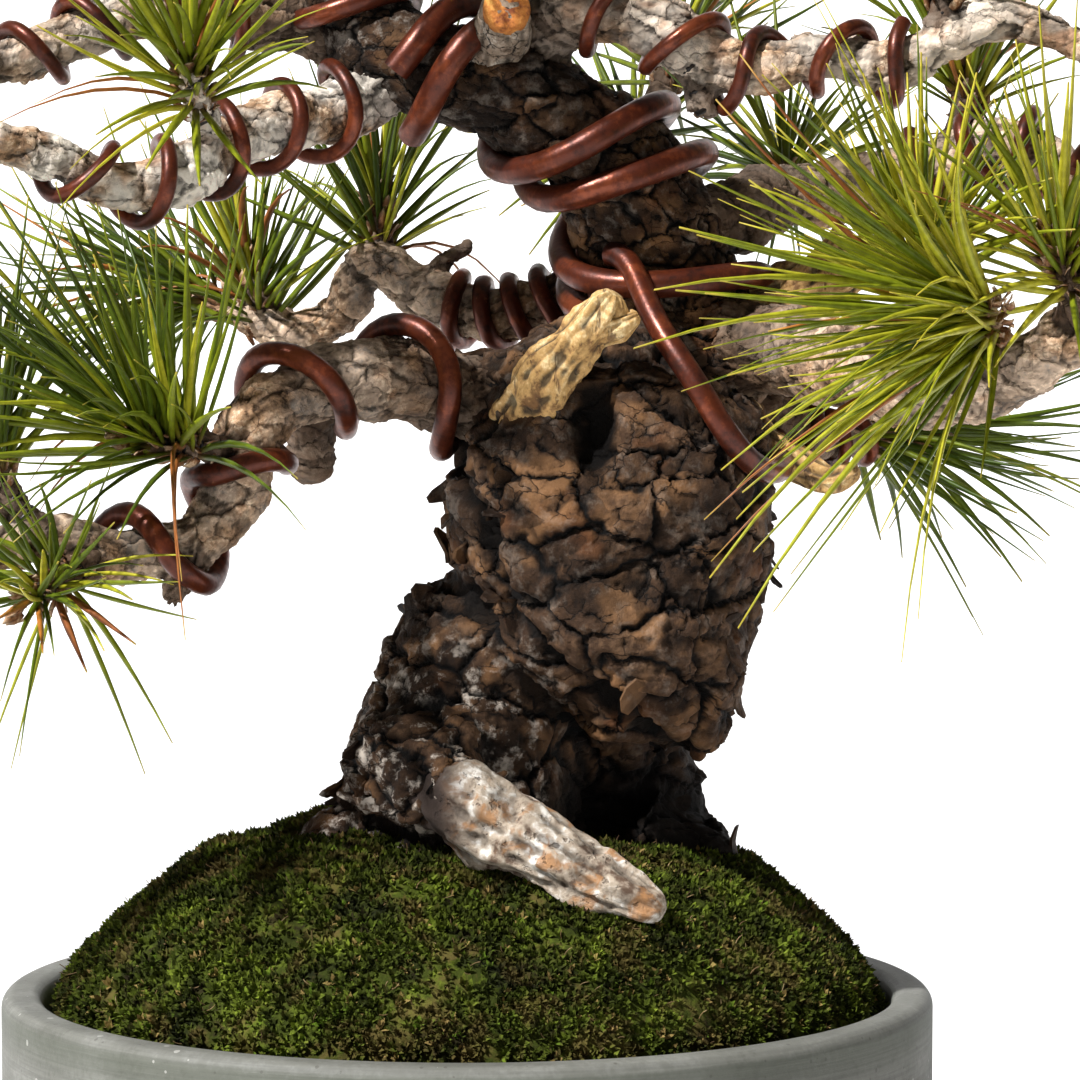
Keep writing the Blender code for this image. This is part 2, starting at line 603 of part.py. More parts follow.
for name, (group, key, fan, share) in tufts.items():
    points = (leader_routes if group == "leader" else branch_routes[group])[key]
    (before, _), (end, radius) = route(points, 4 * MM)[-2:]
    along = (end - before).normalized()
    shape = BVHTree.FromObject(wood[group], graph)
    hit = shape.ray_cast(end + along * 4 * radius, -along)[0]
    bud = hit + along * (bud_radius + fit_gap)
    bm = bmesh.new()
    bmesh.ops.create_icosphere(bm, subdivisions=1, radius=bud_radius)
    turned_to = Vector((0, 0, 1)).rotation_difference(along)
    for vert in bm.verts:
        vert.co = bud + turned_to @ vert.co
    bm.normal_update()
    fan = Vector(fan).normalized()
    for face in bm.faces[:]:
        if face.normal.dot(along) < -0.35:
            continue
        way = (face.normal + fan * 0.8).normalized()
        corners = [vert.co.copy() for vert in face.verts]
        length = clear_length(corners, face.calc_center_median(), way, needle_length * share)
        if length:
            tip = face.calc_center_median() + way * length
            centre = bmesh.ops.poke(bm, faces=[face])["verts"][0]
            centre.co = tip
    tuft = add_object(name, mesh_of(name, bm), needle_green)
    bpy.context.view_layer.update()
    in_the_way.append(BVHTree.FromObject(tuft, bpy.context.evaluated_depsgraph_get()))
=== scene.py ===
import math
import random

import bmesh
import bpy
import numpy as np
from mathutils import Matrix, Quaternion, Vector, noise
from mathutils.bvhtree import BVHTree


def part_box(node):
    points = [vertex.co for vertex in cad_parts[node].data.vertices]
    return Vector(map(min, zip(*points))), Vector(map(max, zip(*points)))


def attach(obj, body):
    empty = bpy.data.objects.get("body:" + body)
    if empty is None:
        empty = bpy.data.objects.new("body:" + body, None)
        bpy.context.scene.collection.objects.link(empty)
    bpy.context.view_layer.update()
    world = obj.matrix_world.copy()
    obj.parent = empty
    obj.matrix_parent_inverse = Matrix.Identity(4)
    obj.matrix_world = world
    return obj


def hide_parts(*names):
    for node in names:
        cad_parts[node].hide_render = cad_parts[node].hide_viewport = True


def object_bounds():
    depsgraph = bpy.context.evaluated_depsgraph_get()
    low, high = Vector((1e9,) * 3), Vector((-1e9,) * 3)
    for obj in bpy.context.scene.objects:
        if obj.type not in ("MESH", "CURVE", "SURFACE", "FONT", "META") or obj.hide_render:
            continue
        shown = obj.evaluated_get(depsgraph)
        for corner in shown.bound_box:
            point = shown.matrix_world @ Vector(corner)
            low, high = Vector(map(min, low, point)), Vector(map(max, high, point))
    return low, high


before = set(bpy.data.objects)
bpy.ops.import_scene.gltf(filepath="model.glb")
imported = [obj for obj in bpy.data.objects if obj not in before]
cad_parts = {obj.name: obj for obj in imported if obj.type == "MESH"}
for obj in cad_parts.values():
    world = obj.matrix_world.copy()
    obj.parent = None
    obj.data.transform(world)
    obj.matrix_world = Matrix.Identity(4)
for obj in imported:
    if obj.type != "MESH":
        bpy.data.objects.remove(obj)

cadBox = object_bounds()
mm = 0.001
scene = bpy.context.scene
scene.view_settings.view_transform = "Standard"
potLow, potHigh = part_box("pot")
lipCentre = Vector(((potLow.x + potHigh.x) / 2, (potLow.y + potHigh.y) / 2, potHigh.z))
up = Vector((0, 0, 1))


# small helpers for node trees and meshes

def addNode(tree, kind, inputs=None, **settings):
    made = tree.nodes.new(kind)
    for key, value in settings.items():
        setattr(made, key, value)
    for key, value in (inputs or {}).items():
        if isinstance(value, bpy.types.NodeSocket):
            tree.links.new(value, made.inputs[key])
        else:
            made.inputs[key].default_value = value
    return made


def maths(tree, operation, *values, clamp=False):
    inputs = dict(enumerate(values))
    return addNode(tree, "ShaderNodeMath", inputs, operation=operation, use_clamp=clamp).outputs[0]


def times(tree, first, second):
    return maths(tree, "MULTIPLY", first, second)


def plus(tree, first, second):
    return maths(tree, "ADD", first, second)


def vectorMaths(tree, operation, *values):
    made = addNode(tree, "ShaderNodeVectorMath", operation=operation)
    for index, value in enumerate(values):
        socket = made.inputs["Scale"] if operation == "SCALE" and index == 1 else made.inputs[index]
        if isinstance(value, bpy.types.NodeSocket):
            tree.links.new(value, socket)
        else:
            socket.default_value = value
    return made.outputs["Vector"]


def remap(tree, value, low, high, outLow=0.0, outHigh=1.0, smooth=True):
    names = {"Value": value, "From Min": low, "From Max": high, "To Min": outLow, "To Max": outHigh}
    kind = "SMOOTHSTEP" if smooth else "LINEAR"
    return addNode(tree, "ShaderNodeMapRange", names, interpolation_type=kind).outputs["Result"]


def mixColour(tree, factor, first, second, blend="MIX"):
    made = addNode(tree, "ShaderNodeMix", data_type="RGBA", blend_type=blend)
    for index, value in ((0, factor), (6, first), (7, second)):
        if isinstance(value, bpy.types.NodeSocket):
            tree.links.new(value, made.inputs[index])
        elif index:
            made.inputs[index].default_value = (*value, 1)
        else:
            made.inputs[index].default_value = value
    return made.outputs[2]


def shaded(tree, colour, amount):
    grey = addNode(tree, "ShaderNodeCombineColor", {"Red": amount, "Green": amount, "Blue": amount}).outputs[0]
    return mixColour(tree, 1.0, colour, grey, "MULTIPLY")


def noiseNode(tree, vector, size, detail=3.0, roughness=0.55, distortion=0.0):
    names = {"Vector": vector, "Scale": 1 / size, "Detail": detail, "Roughness": roughness,
             "Distortion": distortion}
    return addNode(tree, "ShaderNodeTexNoise", names)


def noiseAt(tree, *values):
    return noiseNode(tree, *values).outputs["Fac"]


def newGeometryTree(name, sockets):
    tree = bpy.data.node_groups.new(name, "GeometryNodeTree")
    tree.interface.new_socket("Geometry", in_out="INPUT", socket_type="NodeSocketGeometry")
    for label, value in sockets.items():
        kind = "NodeSocketFloat"
        if isinstance(value, bpy.types.Object):
            kind = "NodeSocketObject"
        elif isinstance(value, bpy.types.Material):
            kind = "NodeSocketMaterial"
        elif isinstance(value, int):
            kind = "NodeSocketInt"
        tree.interface.new_socket(label, in_out="INPUT", socket_type=kind)
    tree.interface.new_socket("Geometry", in_out="OUTPUT", socket_type="NodeSocketGeometry")
    return tree, addNode(tree, "NodeGroupInput"), addNode(tree, "NodeGroupOutput")


def storedValue(tree, label, kind="FLOAT"):
    return addNode(tree, "GeometryNodeInputNamedAttribute", {"Name": label}, data_type=kind).outputs[0]


def moveBy(tree, shape, offset):
    return addNode(tree, "GeometryNodeSetPosition", {"Geometry": shape, "Offset": offset}).outputs[0]


def turnBy(tree, rotation, axis, angle):
    by = addNode(tree, "FunctionNodeAxisAngleToRotation", {"Axis": axis, "Angle": angle}).outputs[0]
    return addNode(tree, "FunctionNodeRotateRotation", {"Rotation": rotation, "Rotate By": by},
                   rotation_space="LOCAL").outputs[0]


def realPlain(tree, shape, skin):
    # copies made real and given their material, the end of every tree
    real = addNode(tree, "GeometryNodeRealizeInstances", {"Geometry": shape}).outputs[0]
    return addNode(tree, "GeometryNodeSetMaterial", {"Geometry": real, "Material": skin}).outputs[0]


def runGeometryTree(piece, tree, values):
    modifier = piece.modifiers.new("shape", "NODES")
    modifier.node_group = tree
    for item in tree.interface.items_tree:
        if item.item_type == "SOCKET" and item.in_out == "INPUT" and item.name in values:
            modifier[item.identifier] = values[item.name]
    settle(piece)


def settle(piece):
    bpy.context.view_layer.update()
    graph = bpy.context.evaluated_depsgraph_get()
    plain = bpy.data.meshes.new_from_object(piece.evaluated_get(graph), depsgraph=graph)
    piece.modifiers.clear()
    piece.data = plain
    plain.name = piece.name
    return piece


def plainMesh(name, bm):
    mesh = bpy.data.meshes.new(name)
    bm.to_mesh(mesh)
    bm.free()
    return mesh


def newPiece(name, source, surface=None):
    if isinstance(source, bmesh.types.BMesh):
        bmesh.ops.recalc_face_normals(source, faces=source.faces[:])
        source = plainMesh(name, source)
    if surface:
        source.materials.clear()
        source.materials.append(surface)
    made = bpy.data.objects.new(name, source)
    scene.collection.objects.link(made)
    return made


def bridge(bm, rings, capped=True):
    # walls between neighbouring rings, and a face over each end
    for low, high in zip(rings, rings[1:]):
        for k in range(len(low)):
            n = (k + 1) % len(low)
            bm.faces.new((low[k], low[n], high[n], high[k]))
    if capped:
        bm.faces.new(rings[0])
        bm.faces.new(rings[-1])


def joinedName(first, words):
    return first + "".join(word[0].upper() + word[1:] for word in words)


def asPart(piece, slot, *nodes):
    piece.data.shade_smooth()
    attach(piece, "root")
    if nodes:
        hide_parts(*nodes)
    return piece


def putValues(mesh, label, values, kind="FLOAT"):
    layer = mesh.attributes.new(label, kind, "POINT")
    field = "vector" if kind == "FLOAT_VECTOR" else "value"
    layer.data.foreach_set(field, np.asarray(values, np.float32).ravel())


def meshRows(mesh, label):
    # the place ("co") or the normal of every vertex, one row each
    found = np.empty(len(mesh.vertices) * 3, np.float32)
    mesh.vertices.foreach_get(label, found)
    return found.reshape(-1, 3)


# routes along the wood: x, y, height above the lip and radius,
# in millimetres from the middle of the pot's lip

trunkRoutes = {
    "lowerBulge": [(-1, 4, 6, 32), (-2, 1, 30, 28), (0, -1, 50, 25), (4, 1, 68, 22.5), (15, 6, 81, 18)],
    "core": [(32, 20, 6, 29), (31, 22, 30, 23), (29, 21, 50, 20), (28, 14, 68, 25), (27, 4, 88, 28)],
    "upperBulge": [(48, -14, 58, 11), (43, -15, 67, 21), (36, -12, 82, 30), (30, -9, 99, 35), (28, -4, 115, 35),
                   (26, 0, 125, 28)],
    "bulgeFront": [(42, -24, 67, 13), (34, -27, 80, 16), (26, -25, 95, 17), (22, -18, 112, 15)],
    "leftShoulder": [(20, 0, 118, 22), (9, -2, 124, 16), (0, -5, 126, 12)],
    "rightShoulder": [(30, 0, 121, 25), (40, 3, 130, 23), (48, 6, 138, 20)],
    "rightKnee": [(46, 4, 92, 18), (51, 0, 108, 13), (50, 2, 122, 12)],
    "rootCover": [(-15, -12, 50, 13), (-9, -24, 50, 13), (-5, -31, 48, 11.8), (-2, -34, 47, 9.5)],
    "rootLeft": [(-12, 0, 34, 17), (-24, -5, 32, 10), (-33, -8, 25, 7), (-44, -10, 12, 6)],
    "rootBack": [(10, 20, 30, 20), (8, 40, 22, 12), (6, 56, 6, 7)],
    "rootRight": [(40, 10, 26, 18), (53, 6, 22, 10), (62, 2, 8, 7)],
    "rootFront": [(4, -12, 34, 17), (-8, -24, 28, 10), (-18, -36, 18, 6)],
}
leaderRoutes = {
    "leader": [(47, 6, 132, 21), (43, 6, 148, 17), (36, 2, 168, 15), (29, -2, 179, 14), (19, -5, 187, 12.5),
               (7, -6, 194, 12.5), (-8, -2, 197, 12), (-20, 2, 203, 11), (-26, 4, 215, 10), (-25, 3, 231, 9),
               (-17, 0, 245, 7.5), (-10, 0, 260, 5.5), (-9, -2, 276, 3.2)],
    "apexLeft": [(-17, 0, 244, 3.4), (-28, 3, 250, 2.6), (-36, 5, 256, 2)],
    "apexRight": [(-11, 0, 258, 3.2), (2, -4, 262, 2.6), (12, -8, 266, 2)],
    "apexBack": [(-24, 3, 232, 4), (-24, 18, 238, 3), (-22, 32, 246, 2.2)],
    "apexFront": [(-22, 2, 236, 4), (-18, -16, 240, 3), (-15, -28, 246, 2.2)],
}
branchRoutes = {
    "lowerLeft": {
        "limb": [(14, -4, 124, 11), (3, -7, 127, 10), (-5, -9, 129, 9.3), (-15, -14, 132, 8.5), (-29, -20, 132, 8),
                 (-38, -24, 128, 7.5), (-46, -28, 119, 7.5), (-48, -30, 109, 7), (-55, -32, 100, 6.5),
                 (-66, -34, 97, 6), (-76, -38, 97, 5.5), (-86, -40, 100, 5), (-97, -43, 98, 4.5),
                 (-112, -46, 95, 4), (-126, -48, 98, 2.6)],
        "twigUp": [(-47, -29, 116, 5), (-54, -38, 119, 3.4), (-64, -47, 121, 2.6)],
        "twigLow": [(-76, -38, 97, 4.5), (-82, -48, 93, 3), (-86, -55, 90, 2.4)],
        "twigEdge": [(-88, -40, 100, 4), (-96, -40, 112, 3), (-100, -40, 123, 2.2)],
        "stubDown": [(-56, -33, 98, 5), (-58, -36, 92, 4), (-61, -38, 88, 3.4)],
        "stubBehind": [(-30, -16, 130, 6), (-33, -4, 120, 5.5), (-33, 0, 112, 5)],
    },
    "topLeft": {
        "limb": [(-16, 1, 200, 9), (-21, -3, 192, 8), (-28, -8, 188, 7), (-35, -15, 186, 6.5), (-49, -30, 182, 6),
                 (-59, -40, 175, 6), (-71, -45, 173, 5.5), (-82, -50, 178, 5), (-95, -55, 182, 4.4)],
        "twigUp": [(-52, -33, 181, 4), (-54, -47, 189, 3), (-55, -58, 196, 2.4)],
        "twigEnd": [(-94, -55, 181, 4.2), (-110, -60, 179, 3.4), (-124, -62, 182, 2.4)],
    },
    "cornerLeft": {
        "limb": [(-19, 2, 202, 9), (-29, 4, 205, 8), (-46, 0, 208, 7), (-64, -10, 210, 6), (-81, -16, 204, 5.5),
                 (-97, -22, 198, 5), (-114, -28, 200, 4), (-127, -30, 206, 2.6)],
        "twigUp": [(-80, -16, 204, 4), (-84, -10, 216, 3), (-86, -8, 226, 2.2)],
    },
    "middleBack": {
        "limb": [(44, 12, 144, 9), (38, 24, 149, 8), (27, 32, 149, 7), (16, 36, 145, 6.5), (2, 40, 143, 6),
                 (-11, 44, 148, 6), (-22, 48, 154, 5.5), (-28, 52, 143, 5.5), (-38, 56, 138, 5), (-52, 60, 143, 4),
                 (-67, 66, 147, 2.6)],
        "twigUp": [(-21, 48, 153, 4.5), (-20, 50, 160, 3), (-20, 50, 166, 2.4)],
        "twigLeft": [(-40, 57, 138, 4), (-47, 58, 144, 3), (-49, 58, 150, 2.4)],
        "sprig": [(-10, 44, 148, 3), (-5, 44, 155, 2.4), (0, 44, 158, 1.6)],
    },
    "right": {
        "limb": [(44, 4, 134, 15), (62, -4, 138, 11), (75, -16, 136, 10), (86, -30, 133, 9), (98, -42, 131, 8),
                 (112, -54, 135, 7), (127, -62, 145, 6), (143, -66, 147, 4.5), (156, -66, 152, 2.8)],
        "twigFront": [(97, -42, 132, 5), (103, -66, 140, 3.4), (105, -86, 148, 2.6)],
        "twigUp": [(124, -61, 143, 5), (122, -70, 154, 3.2), (119, -76, 160, 2.4)],
        "twigInner": [(86, -31, 134, 5), (92, -48, 148, 3.2), (93, -62, 158, 2.4)],
    },
    "lowerRight": {
        "limb": [(50, 2, 122, 8), (68, 8, 122, 5), (77, 14, 117, 4.5), (86, 22, 117, 3.8), (95, 27, 117, 2.6)],
    },
    "farRight": {
        "limb": [(45, 4, 163, 9), (56, 12, 165, 8.5), (65, 22, 169, 7.5), (83, 30, 171, 6.5), (104, 20, 177, 6.2),
                 (119, 10, 180, 6), (133, 0, 172, 5), (148, -6, 170, 2.8)],
        "twigUp": [(104, 20, 178, 4), (108, 24, 190, 3), (108, 26, 199, 2.2)],
        "twigBack": [(68, 26, 170, 4), (70, 44, 172, 3), (70, 57, 174, 2.2)],
    },
    "topRight": {
        "limb": [(14, -4, 191, 8), (16, -7, 203, 7.5), (21, -13, 209, 7.2), (29, -16, 209, 7), (41, -20, 205, 6.5),
                 (57, -23, 196, 6), (74, -27, 200, 5.5), (86, -30, 197, 5.2), (98, -34, 202, 5),
                 (112, -36, 207, 4.6), (129, -40, 201, 3.8), (143, -42, 204, 2.6)],
        "twigDown": [(41, -20, 204, 4), (48, -22, 196, 3.6), (50, -22, 188, 3.4)],
        "twigUp": [(98, -34, 203, 4), (99, -34, 214, 3), (100, -34, 223, 2.2)],
    },
    "back": {
        "limb": [(24, -5, 185, 8), (23, 16, 187, 6.6), (28, 42, 185, 6.4), (39, 70, 184, 5.5), (36, 98, 180, 3.4)],
        "twigUp": [(39, 66, 184, 4), (44, 76, 194, 3), (46, 84, 201, 2.2)],
        "twigLeft": [(34, 50, 184, 4), (22, 64, 186, 3), (12, 74, 190, 2.2)],
    },
}
branchNodes = {"lowerLeft": "branch_lower_left", "topLeft": "branch_top_left", "cornerLeft": "branch_corner_left",
               "middleBack": "branch_middle_back", "right": "branch_right", "lowerRight": "branch_lower_right",
               "farRight": "branch_far_right", "topRight": "branch_top_right", "back": "branch_back"}


def routeOf(group, key):
    return leaderRoutes[key] if group == "leader" else branchRoutes[group][key]


def walkRoute(points, step):
    # a smooth line through a route's points, as (place, radius) pairs about a step apart
    knots = [(lipCentre + Vector((x, y, z)) * mm, r * mm) for x, y, z, r in points]
    knots.insert(0, (2 * knots[0][0] - knots[1][0], knots[0][1]))
    knots.append((2 * knots[-1][0] - knots[-2][0], knots[-1][1]))
    found = []
    for (a, _), (b, rb), (c, rc), (d, _) in zip(knots, knots[1:], knots[2:], knots[3:]):
        count = max(1, round((c - b).length / step))
        for k in range(count):
            t = k / count
            place = 0.5 * (2 * b + (c - a) * t + (2 * a - 5 * b + 4 * c - d) * t * t
                           + (3 * b - a - 3 * c + d) * t**3)
            found.append((place, rb + (rc - rb) * t))
    return found + [knots[-2]]


def framesAlong(places, pull=0.0):
    found = []
    front = Vector((0, -1, 0))
    for k in range(len(places)):
        along = (places[min(k + 1, len(places) - 1)] - places[max(k - 1, 0)]).normalized()
        front = front * (1 - pull) + Vector((0, -1, 0)) * pull
        front = front - along * front.dot(along)
        if front.length < 0.01:
            front = along.orthogonal()
        front.normalize()
        found.append((along, front, along.cross(front)))
    return found


def addTube(bm, path, sides, shape):
    # closed tube along (place, radius) pairs; shape(place, radius, angle, step) gives the radius point by point
    around = framesAlong([place for place, _ in path])
    rings = []
    for step, ((place, radius), (_, front, across)) in enumerate(zip(path, around)):
        ring = []
        for k in range(sides):
            angle = 2 * math.pi * k / sides
            out = front * math.cos(angle) + across * math.sin(angle)
            ring.append(bm.verts.new(place + out * shape(place + out * radius, radius, angle, step)))
        rings.append(ring)
    bridge(bm, rings)


def roundedEnds(path):
    first, last = path[0], path[-1]
    start = (first[0] - path[1][0]).normalized()
    end = (last[0] - path[-2][0]).normalized()
    opening = [(first[0] + start * first[1] * out, first[1] * size) for out, size in ((0.6, 0.5), (0.3, 0.85))]
    closing = [(last[0] + end * last[1] * out, last[1] * size) for out, size in ((0.3, 0.85), (0.6, 0.5))]
    return opening + path + closing


def plateField(tree, where, widening):
    # bark plates over a position counted in plate sizes: crack masks, a tone and a slope for each plate
    warp = noiseNode(tree, where, 0.6, 4, 0.6).outputs["Color"]
    warp = vectorMaths(tree, "SCALE", vectorMaths(tree, "SUBTRACT", warp, (0.5, 0.5, 0.5)), 0.55)
    flat = vectorMaths(tree, "MULTIPLY", vectorMaths(tree, "ADD", where, warp), (0.85, 0.85, 1.4))
    broken = noiseAt(tree, where, 0.5, 2)
    found = {"bent": flat}
    for label, times, seed in (("large", 1.0, 0.0), ("small", 2.6, 3.7)):
        both = {"Vector": vectorMaths(tree, "ADD", flat, (seed, seed, seed)), "Scale": times}
        edge = addNode(tree, "ShaderNodeTexVoronoi", both, feature="DISTANCE_TO_EDGE").outputs["Distance"]
        cell = addNode(tree, "ShaderNodeTexVoronoi", both, feature="F1")
        lean = vectorMaths(tree, "SUBTRACT", cell.outputs["Color"], (0.5, 0.5, 0.5))
        away = vectorMaths(tree, "SUBTRACT", both["Vector"], cell.outputs["Position"])
        slope = addNode(tree, "ShaderNodeVectorMath", {0: away, 1: lean}, operation="DOT_PRODUCT")
        tone = addNode(tree, "ShaderNodeSeparateXYZ", {"Vector": cell.outputs["Color"]}).outputs[0]
        found[label] = {"edge": edge, "slope": slope.outputs["Value"], "tone": tone}
    width = remap(tree, broken, 0.35, 0.7, 0.012 * widening, 0.06 * widening)
    crack = remap(tree, found["large"]["edge"], 0.0, width)
    nick = maths(tree, "MAXIMUM", remap(tree, found["small"]["edge"], 0.0, 0.035 * widening),
                 remap(tree, broken, 0.46, 0.56))
    return {**found, "crack": crack, "nick": nick}


# shader groups that several finishes use

def newShaderGroup(name, inputs, outputs):
    tree = bpy.data.node_groups.new(name, "ShaderNodeTree")
    for label, kind, value in inputs:
        socket = tree.interface.new_socket(label, in_out="INPUT", socket_type="NodeSocket" + kind)
        socket.default_value = value
    for label, kind in outputs:
        tree.interface.new_socket(label, in_out="OUTPUT", socket_type="NodeSocket" + kind)
    return tree, addNode(tree, "NodeGroupInput"), addNode(tree, "NodeGroupOutput")


def makePatchGroup():
    # three colours in soft patches of one size, with finer mottling inside them
    tree, given, out = newShaderGroup(
        "patches",
        [("Dark", "Color", (0, 0, 0, 1)), ("Middle", "Color", (0.2, 0.2, 0.2, 1)),
         ("Light", "Color", (1, 1, 1, 1)), ("Patch Size", "Float", 0.01), ("Mottle Size", "Float", 0.001)],
        [("Color", "Color"), ("Fac", "Float")])
    where = addNode(tree, "ShaderNodeTexCoord").outputs["Object"]
    broad = noiseNode(tree, where, 1, 3)
    tree.links.new(maths(tree, "DIVIDE", 1, given.outputs["Patch Size"]), broad.inputs["Scale"])
    fine = noiseNode(tree, where, 1, 4, 0.65)
    tree.links.new(maths(tree, "DIVIDE", 1, given.outputs["Mottle Size"]), fine.inputs["Scale"])
    both = plus(tree, times(tree, broad.outputs["Fac"], 0.6), times(tree, fine.outputs["Fac"], 0.4))
    low = remap(tree, both, 0.36, 0.5)
    high = remap(tree, both, 0.5, 0.64)
    colour = mixColour(tree, low, given.outputs["Dark"], given.outputs["Middle"])
    colour = mixColour(tree, high, colour, given.outputs["Light"])
    tree.links.new(colour, out.inputs["Color"])
    tree.links.new(both, out.inputs["Fac"])
    return tree


def makeSpeckGroup():
    # a mask of scattered small specks
    tree, given, out = newShaderGroup("specks", [("Spacing", "Float", 0.003), ("Share", "Float", 0.1)],
                                      [("Mask", "Float")])
    where = addNode(tree, "ShaderNodeTexCoord").outputs["Object"]
    cells = addNode(tree, "ShaderNodeTexVoronoi", {"Vector": where, "Randomness": 1.0})
    tree.links.new(maths(tree, "DIVIDE", 1, given.outputs["Spacing"]), cells.inputs["Scale"])
    parts = addNode(tree, "ShaderNodeSeparateColor", {"Color": cells.outputs["Color"]})
    chosen = maths(tree, "LESS_THAN", parts.outputs["Red"], given.outputs["Share"])
    size = times(tree, parts.outputs["Green"], 0.3)
    near = maths(tree, "LESS_THAN", cells.outputs["Distance"], size)
    tree.links.new(times(tree, chosen, near), out.inputs["Mask"])
    return tree


def makePlateGroup():
    # thin cracks and plate tones drawn on the same plates as the relief;
    # the plate tone adds each plate's tilt, a painted shading lighter on a plate's raised side and darker on its
    # sunk side
    tree, given, out = newShaderGroup("barkPlates", [("Tilt", "Float", 0.8), ("Nick", "Float", 0.3)],
                                      [("Crack", "Float"), ("Plate", "Float"), ("Height", "Float")])
    where = addNode(tree, "ShaderNodeAttribute", attribute_name="rest").outputs["Vector"]
    found = plateField(tree, where, 1.0)
    unbroken = times(tree, found["crack"], remap(tree, found["nick"], 0, 1, 0.25, 1))
    tone = plus(tree, times(tree, found["large"]["tone"], 0.5), times(tree, found["small"]["tone"], 0.5))
    slope = plus(tree, found["large"]["slope"], found["small"]["slope"])
    edges = plus(tree, times(tree, found["crack"], 0.6), times(tree, found["nick"], given.outputs["Nick"]))
    height = plus(tree, edges, times(tree, slope, given.outputs["Tilt"]))
    tree.links.new(unbroken, out.inputs["Crack"])
    tree.links.new(plus(tree, tone, times(tree, slope, 0.5)), out.inputs["Plate"])
    tree.links.new(height, out.inputs["Height"])
    return tree


patchGroup = makePatchGroup()
plateGroup = makePlateGroup()
speckGroup = makeSpeckGroup()


def newMaterial(name, roughness, metallic=0.0, specular=0.5):
    made = bpy.data.materials.new(name)
    made.use_nodes = True
    tree = made.node_tree
    shader = tree.nodes["Principled BSDF"]
    shader.inputs["Roughness"].default_value = roughness
    shader.inputs["Metallic"].default_value = metallic
    shader.inputs["Specular IOR Level"].default_value = specular
    return made, tree


def patches(tree, dark, middle, light, patchSize, mottleSize):
    made = addNode(tree, "ShaderNodeGroup", node_tree=patchGroup)
    for label, value in (("Dark", dark), ("Middle", middle), ("Light", light)):
        made.inputs[label].default_value = (*value, 1)
    made.inputs["Patch Size"].default_value = patchSize
    made.inputs["Mottle Size"].default_value = mottleSize
    return made


def specks(tree, spacing, share):
    made = addNode(tree, "ShaderNodeGroup", node_tree=speckGroup)
    made.inputs["Spacing"].default_value = spacing
    made.inputs["Share"].default_value = share
    return made.outputs["Mask"]


def attribute(tree, label):
    return addNode(tree, "ShaderNodeAttribute", attribute_name=label).outputs["Fac"]


def finishSkin(made, colour, height, distance, strength, roughness=None):
    # gives the material its colour, a fine relief and, where it varies, its roughness
    tree = made.node_tree
    shader = tree.nodes["Principled BSDF"]
    tree.links.new(colour, shader.inputs["Base Color"])
    bump = addNode(tree, "ShaderNodeBump", {"Height": height, "Distance": distance, "Strength": strength})
    tree.links.new(bump.outputs["Normal"], shader.inputs["Normal"])
    if roughness is not None:
        tree.links.new(roughness, shader.inputs["Roughness"])
    return made


def objectPlace(tree):
    return addNode(tree, "ShaderNodeTexCoord").outputs["Object"]


# the bark's colours, shared by its finishes

barkColours = {
    # the crack colour is also the colour of the painted shade
    "crack": (0.003, 0.002, 0.0015),
    "dark": (0.014, 0.008, 0.005),
    "middle": (0.036, 0.0185, 0.0095),
    "light": (0.115, 0.064, 0.034),
    "tan": (0.2, 0.1, 0.043),
    "rust": (0.12, 0.045, 0.015),
    "grey": (0.46, 0.4, 0.34),
}


def cavityPaintedShading(tree, colour, outward, inward):
    # painted shade and painted highlight: lighter where the surface stands out, darker in its hollows
    return shaded(tree, colour, remap(tree, attribute(tree, "cavity"), 0.3, 0.72, outward, inward, smooth=False))


def makeOldBark():
    made, tree = newMaterial("oldBark", 0.72, 0.0, 0.18)
    where = objectPlace(tree)
    tones = patches(tree, barkColours["dark"], barkColours["middle"], barkColours["light"], 0.012, 0.0016)
    plates = addNode(tree, "ShaderNodeGroup", node_tree=plateGroup)
    plate, crack = plates.outputs["Plate"], plates.outputs["Crack"]
    colour = mixColour(tree, times(tree, plate, 0.4), tones.outputs["Color"], barkColours["middle"])
    # plate tone: each plate's own random tone plus painted shading along its tilt
    shade = remap(tree, plate, 0.15, 0.85, 0.62, 1.35, smooth=False)
    colour = shaded(tree, colour, shade)
    rust = remap(tree, noiseAt(tree, where, 0.016, 2), 0.58, 0.72, 0, 0.55)
    colour = mixColour(tree, rust, colour, barkColours["rust"])
    face = times(tree, remap(tree, noiseAt(tree, where, 0.011, 3, 0.5), 0.5, 0.66, 0, 0.75),
                 remap(tree, plate, 0.3, 0.6, 0.25, 1))
    colour = mixColour(tree, face, colour, barkColours["tan"])
    weather = times(tree, attribute(tree, "weather"),
                    remap(tree, noiseAt(tree, where, 0.005, 5, 0.7), 0.5, 0.66))
    colour = mixColour(tree, weather, colour, barkColours["grey"])
    young = attribute(tree, "young")
    pale = patches(tree, (0.12, 0.085, 0.06), (0.26, 0.2, 0.15), (0.5, 0.44, 0.37), 0.006, 0.001)
    colour = mixColour(tree, young, colour, pale.outputs["Color"])
    colour = mixColour(tree, crack, barkColours["crack"], colour)
    colour = cavityPaintedShading(tree, colour, 1.45, 0.18)
    # painted shade: darkens toward the crack colour by the painted-shade attribute
    colour = mixColour(tree, attribute(tree, "deep"), colour, barkColours["crack"])
    fine = noiseAt(tree, where, 0.0011, 6, 0.7, 0.6)
    worn = remap(tree, plate, 0, 1, 0.85, 0.6, smooth=False)
    return finishSkin(made, colour, plus(tree, plates.outputs["Height"], fine), 0.0007, 0.9, worn)


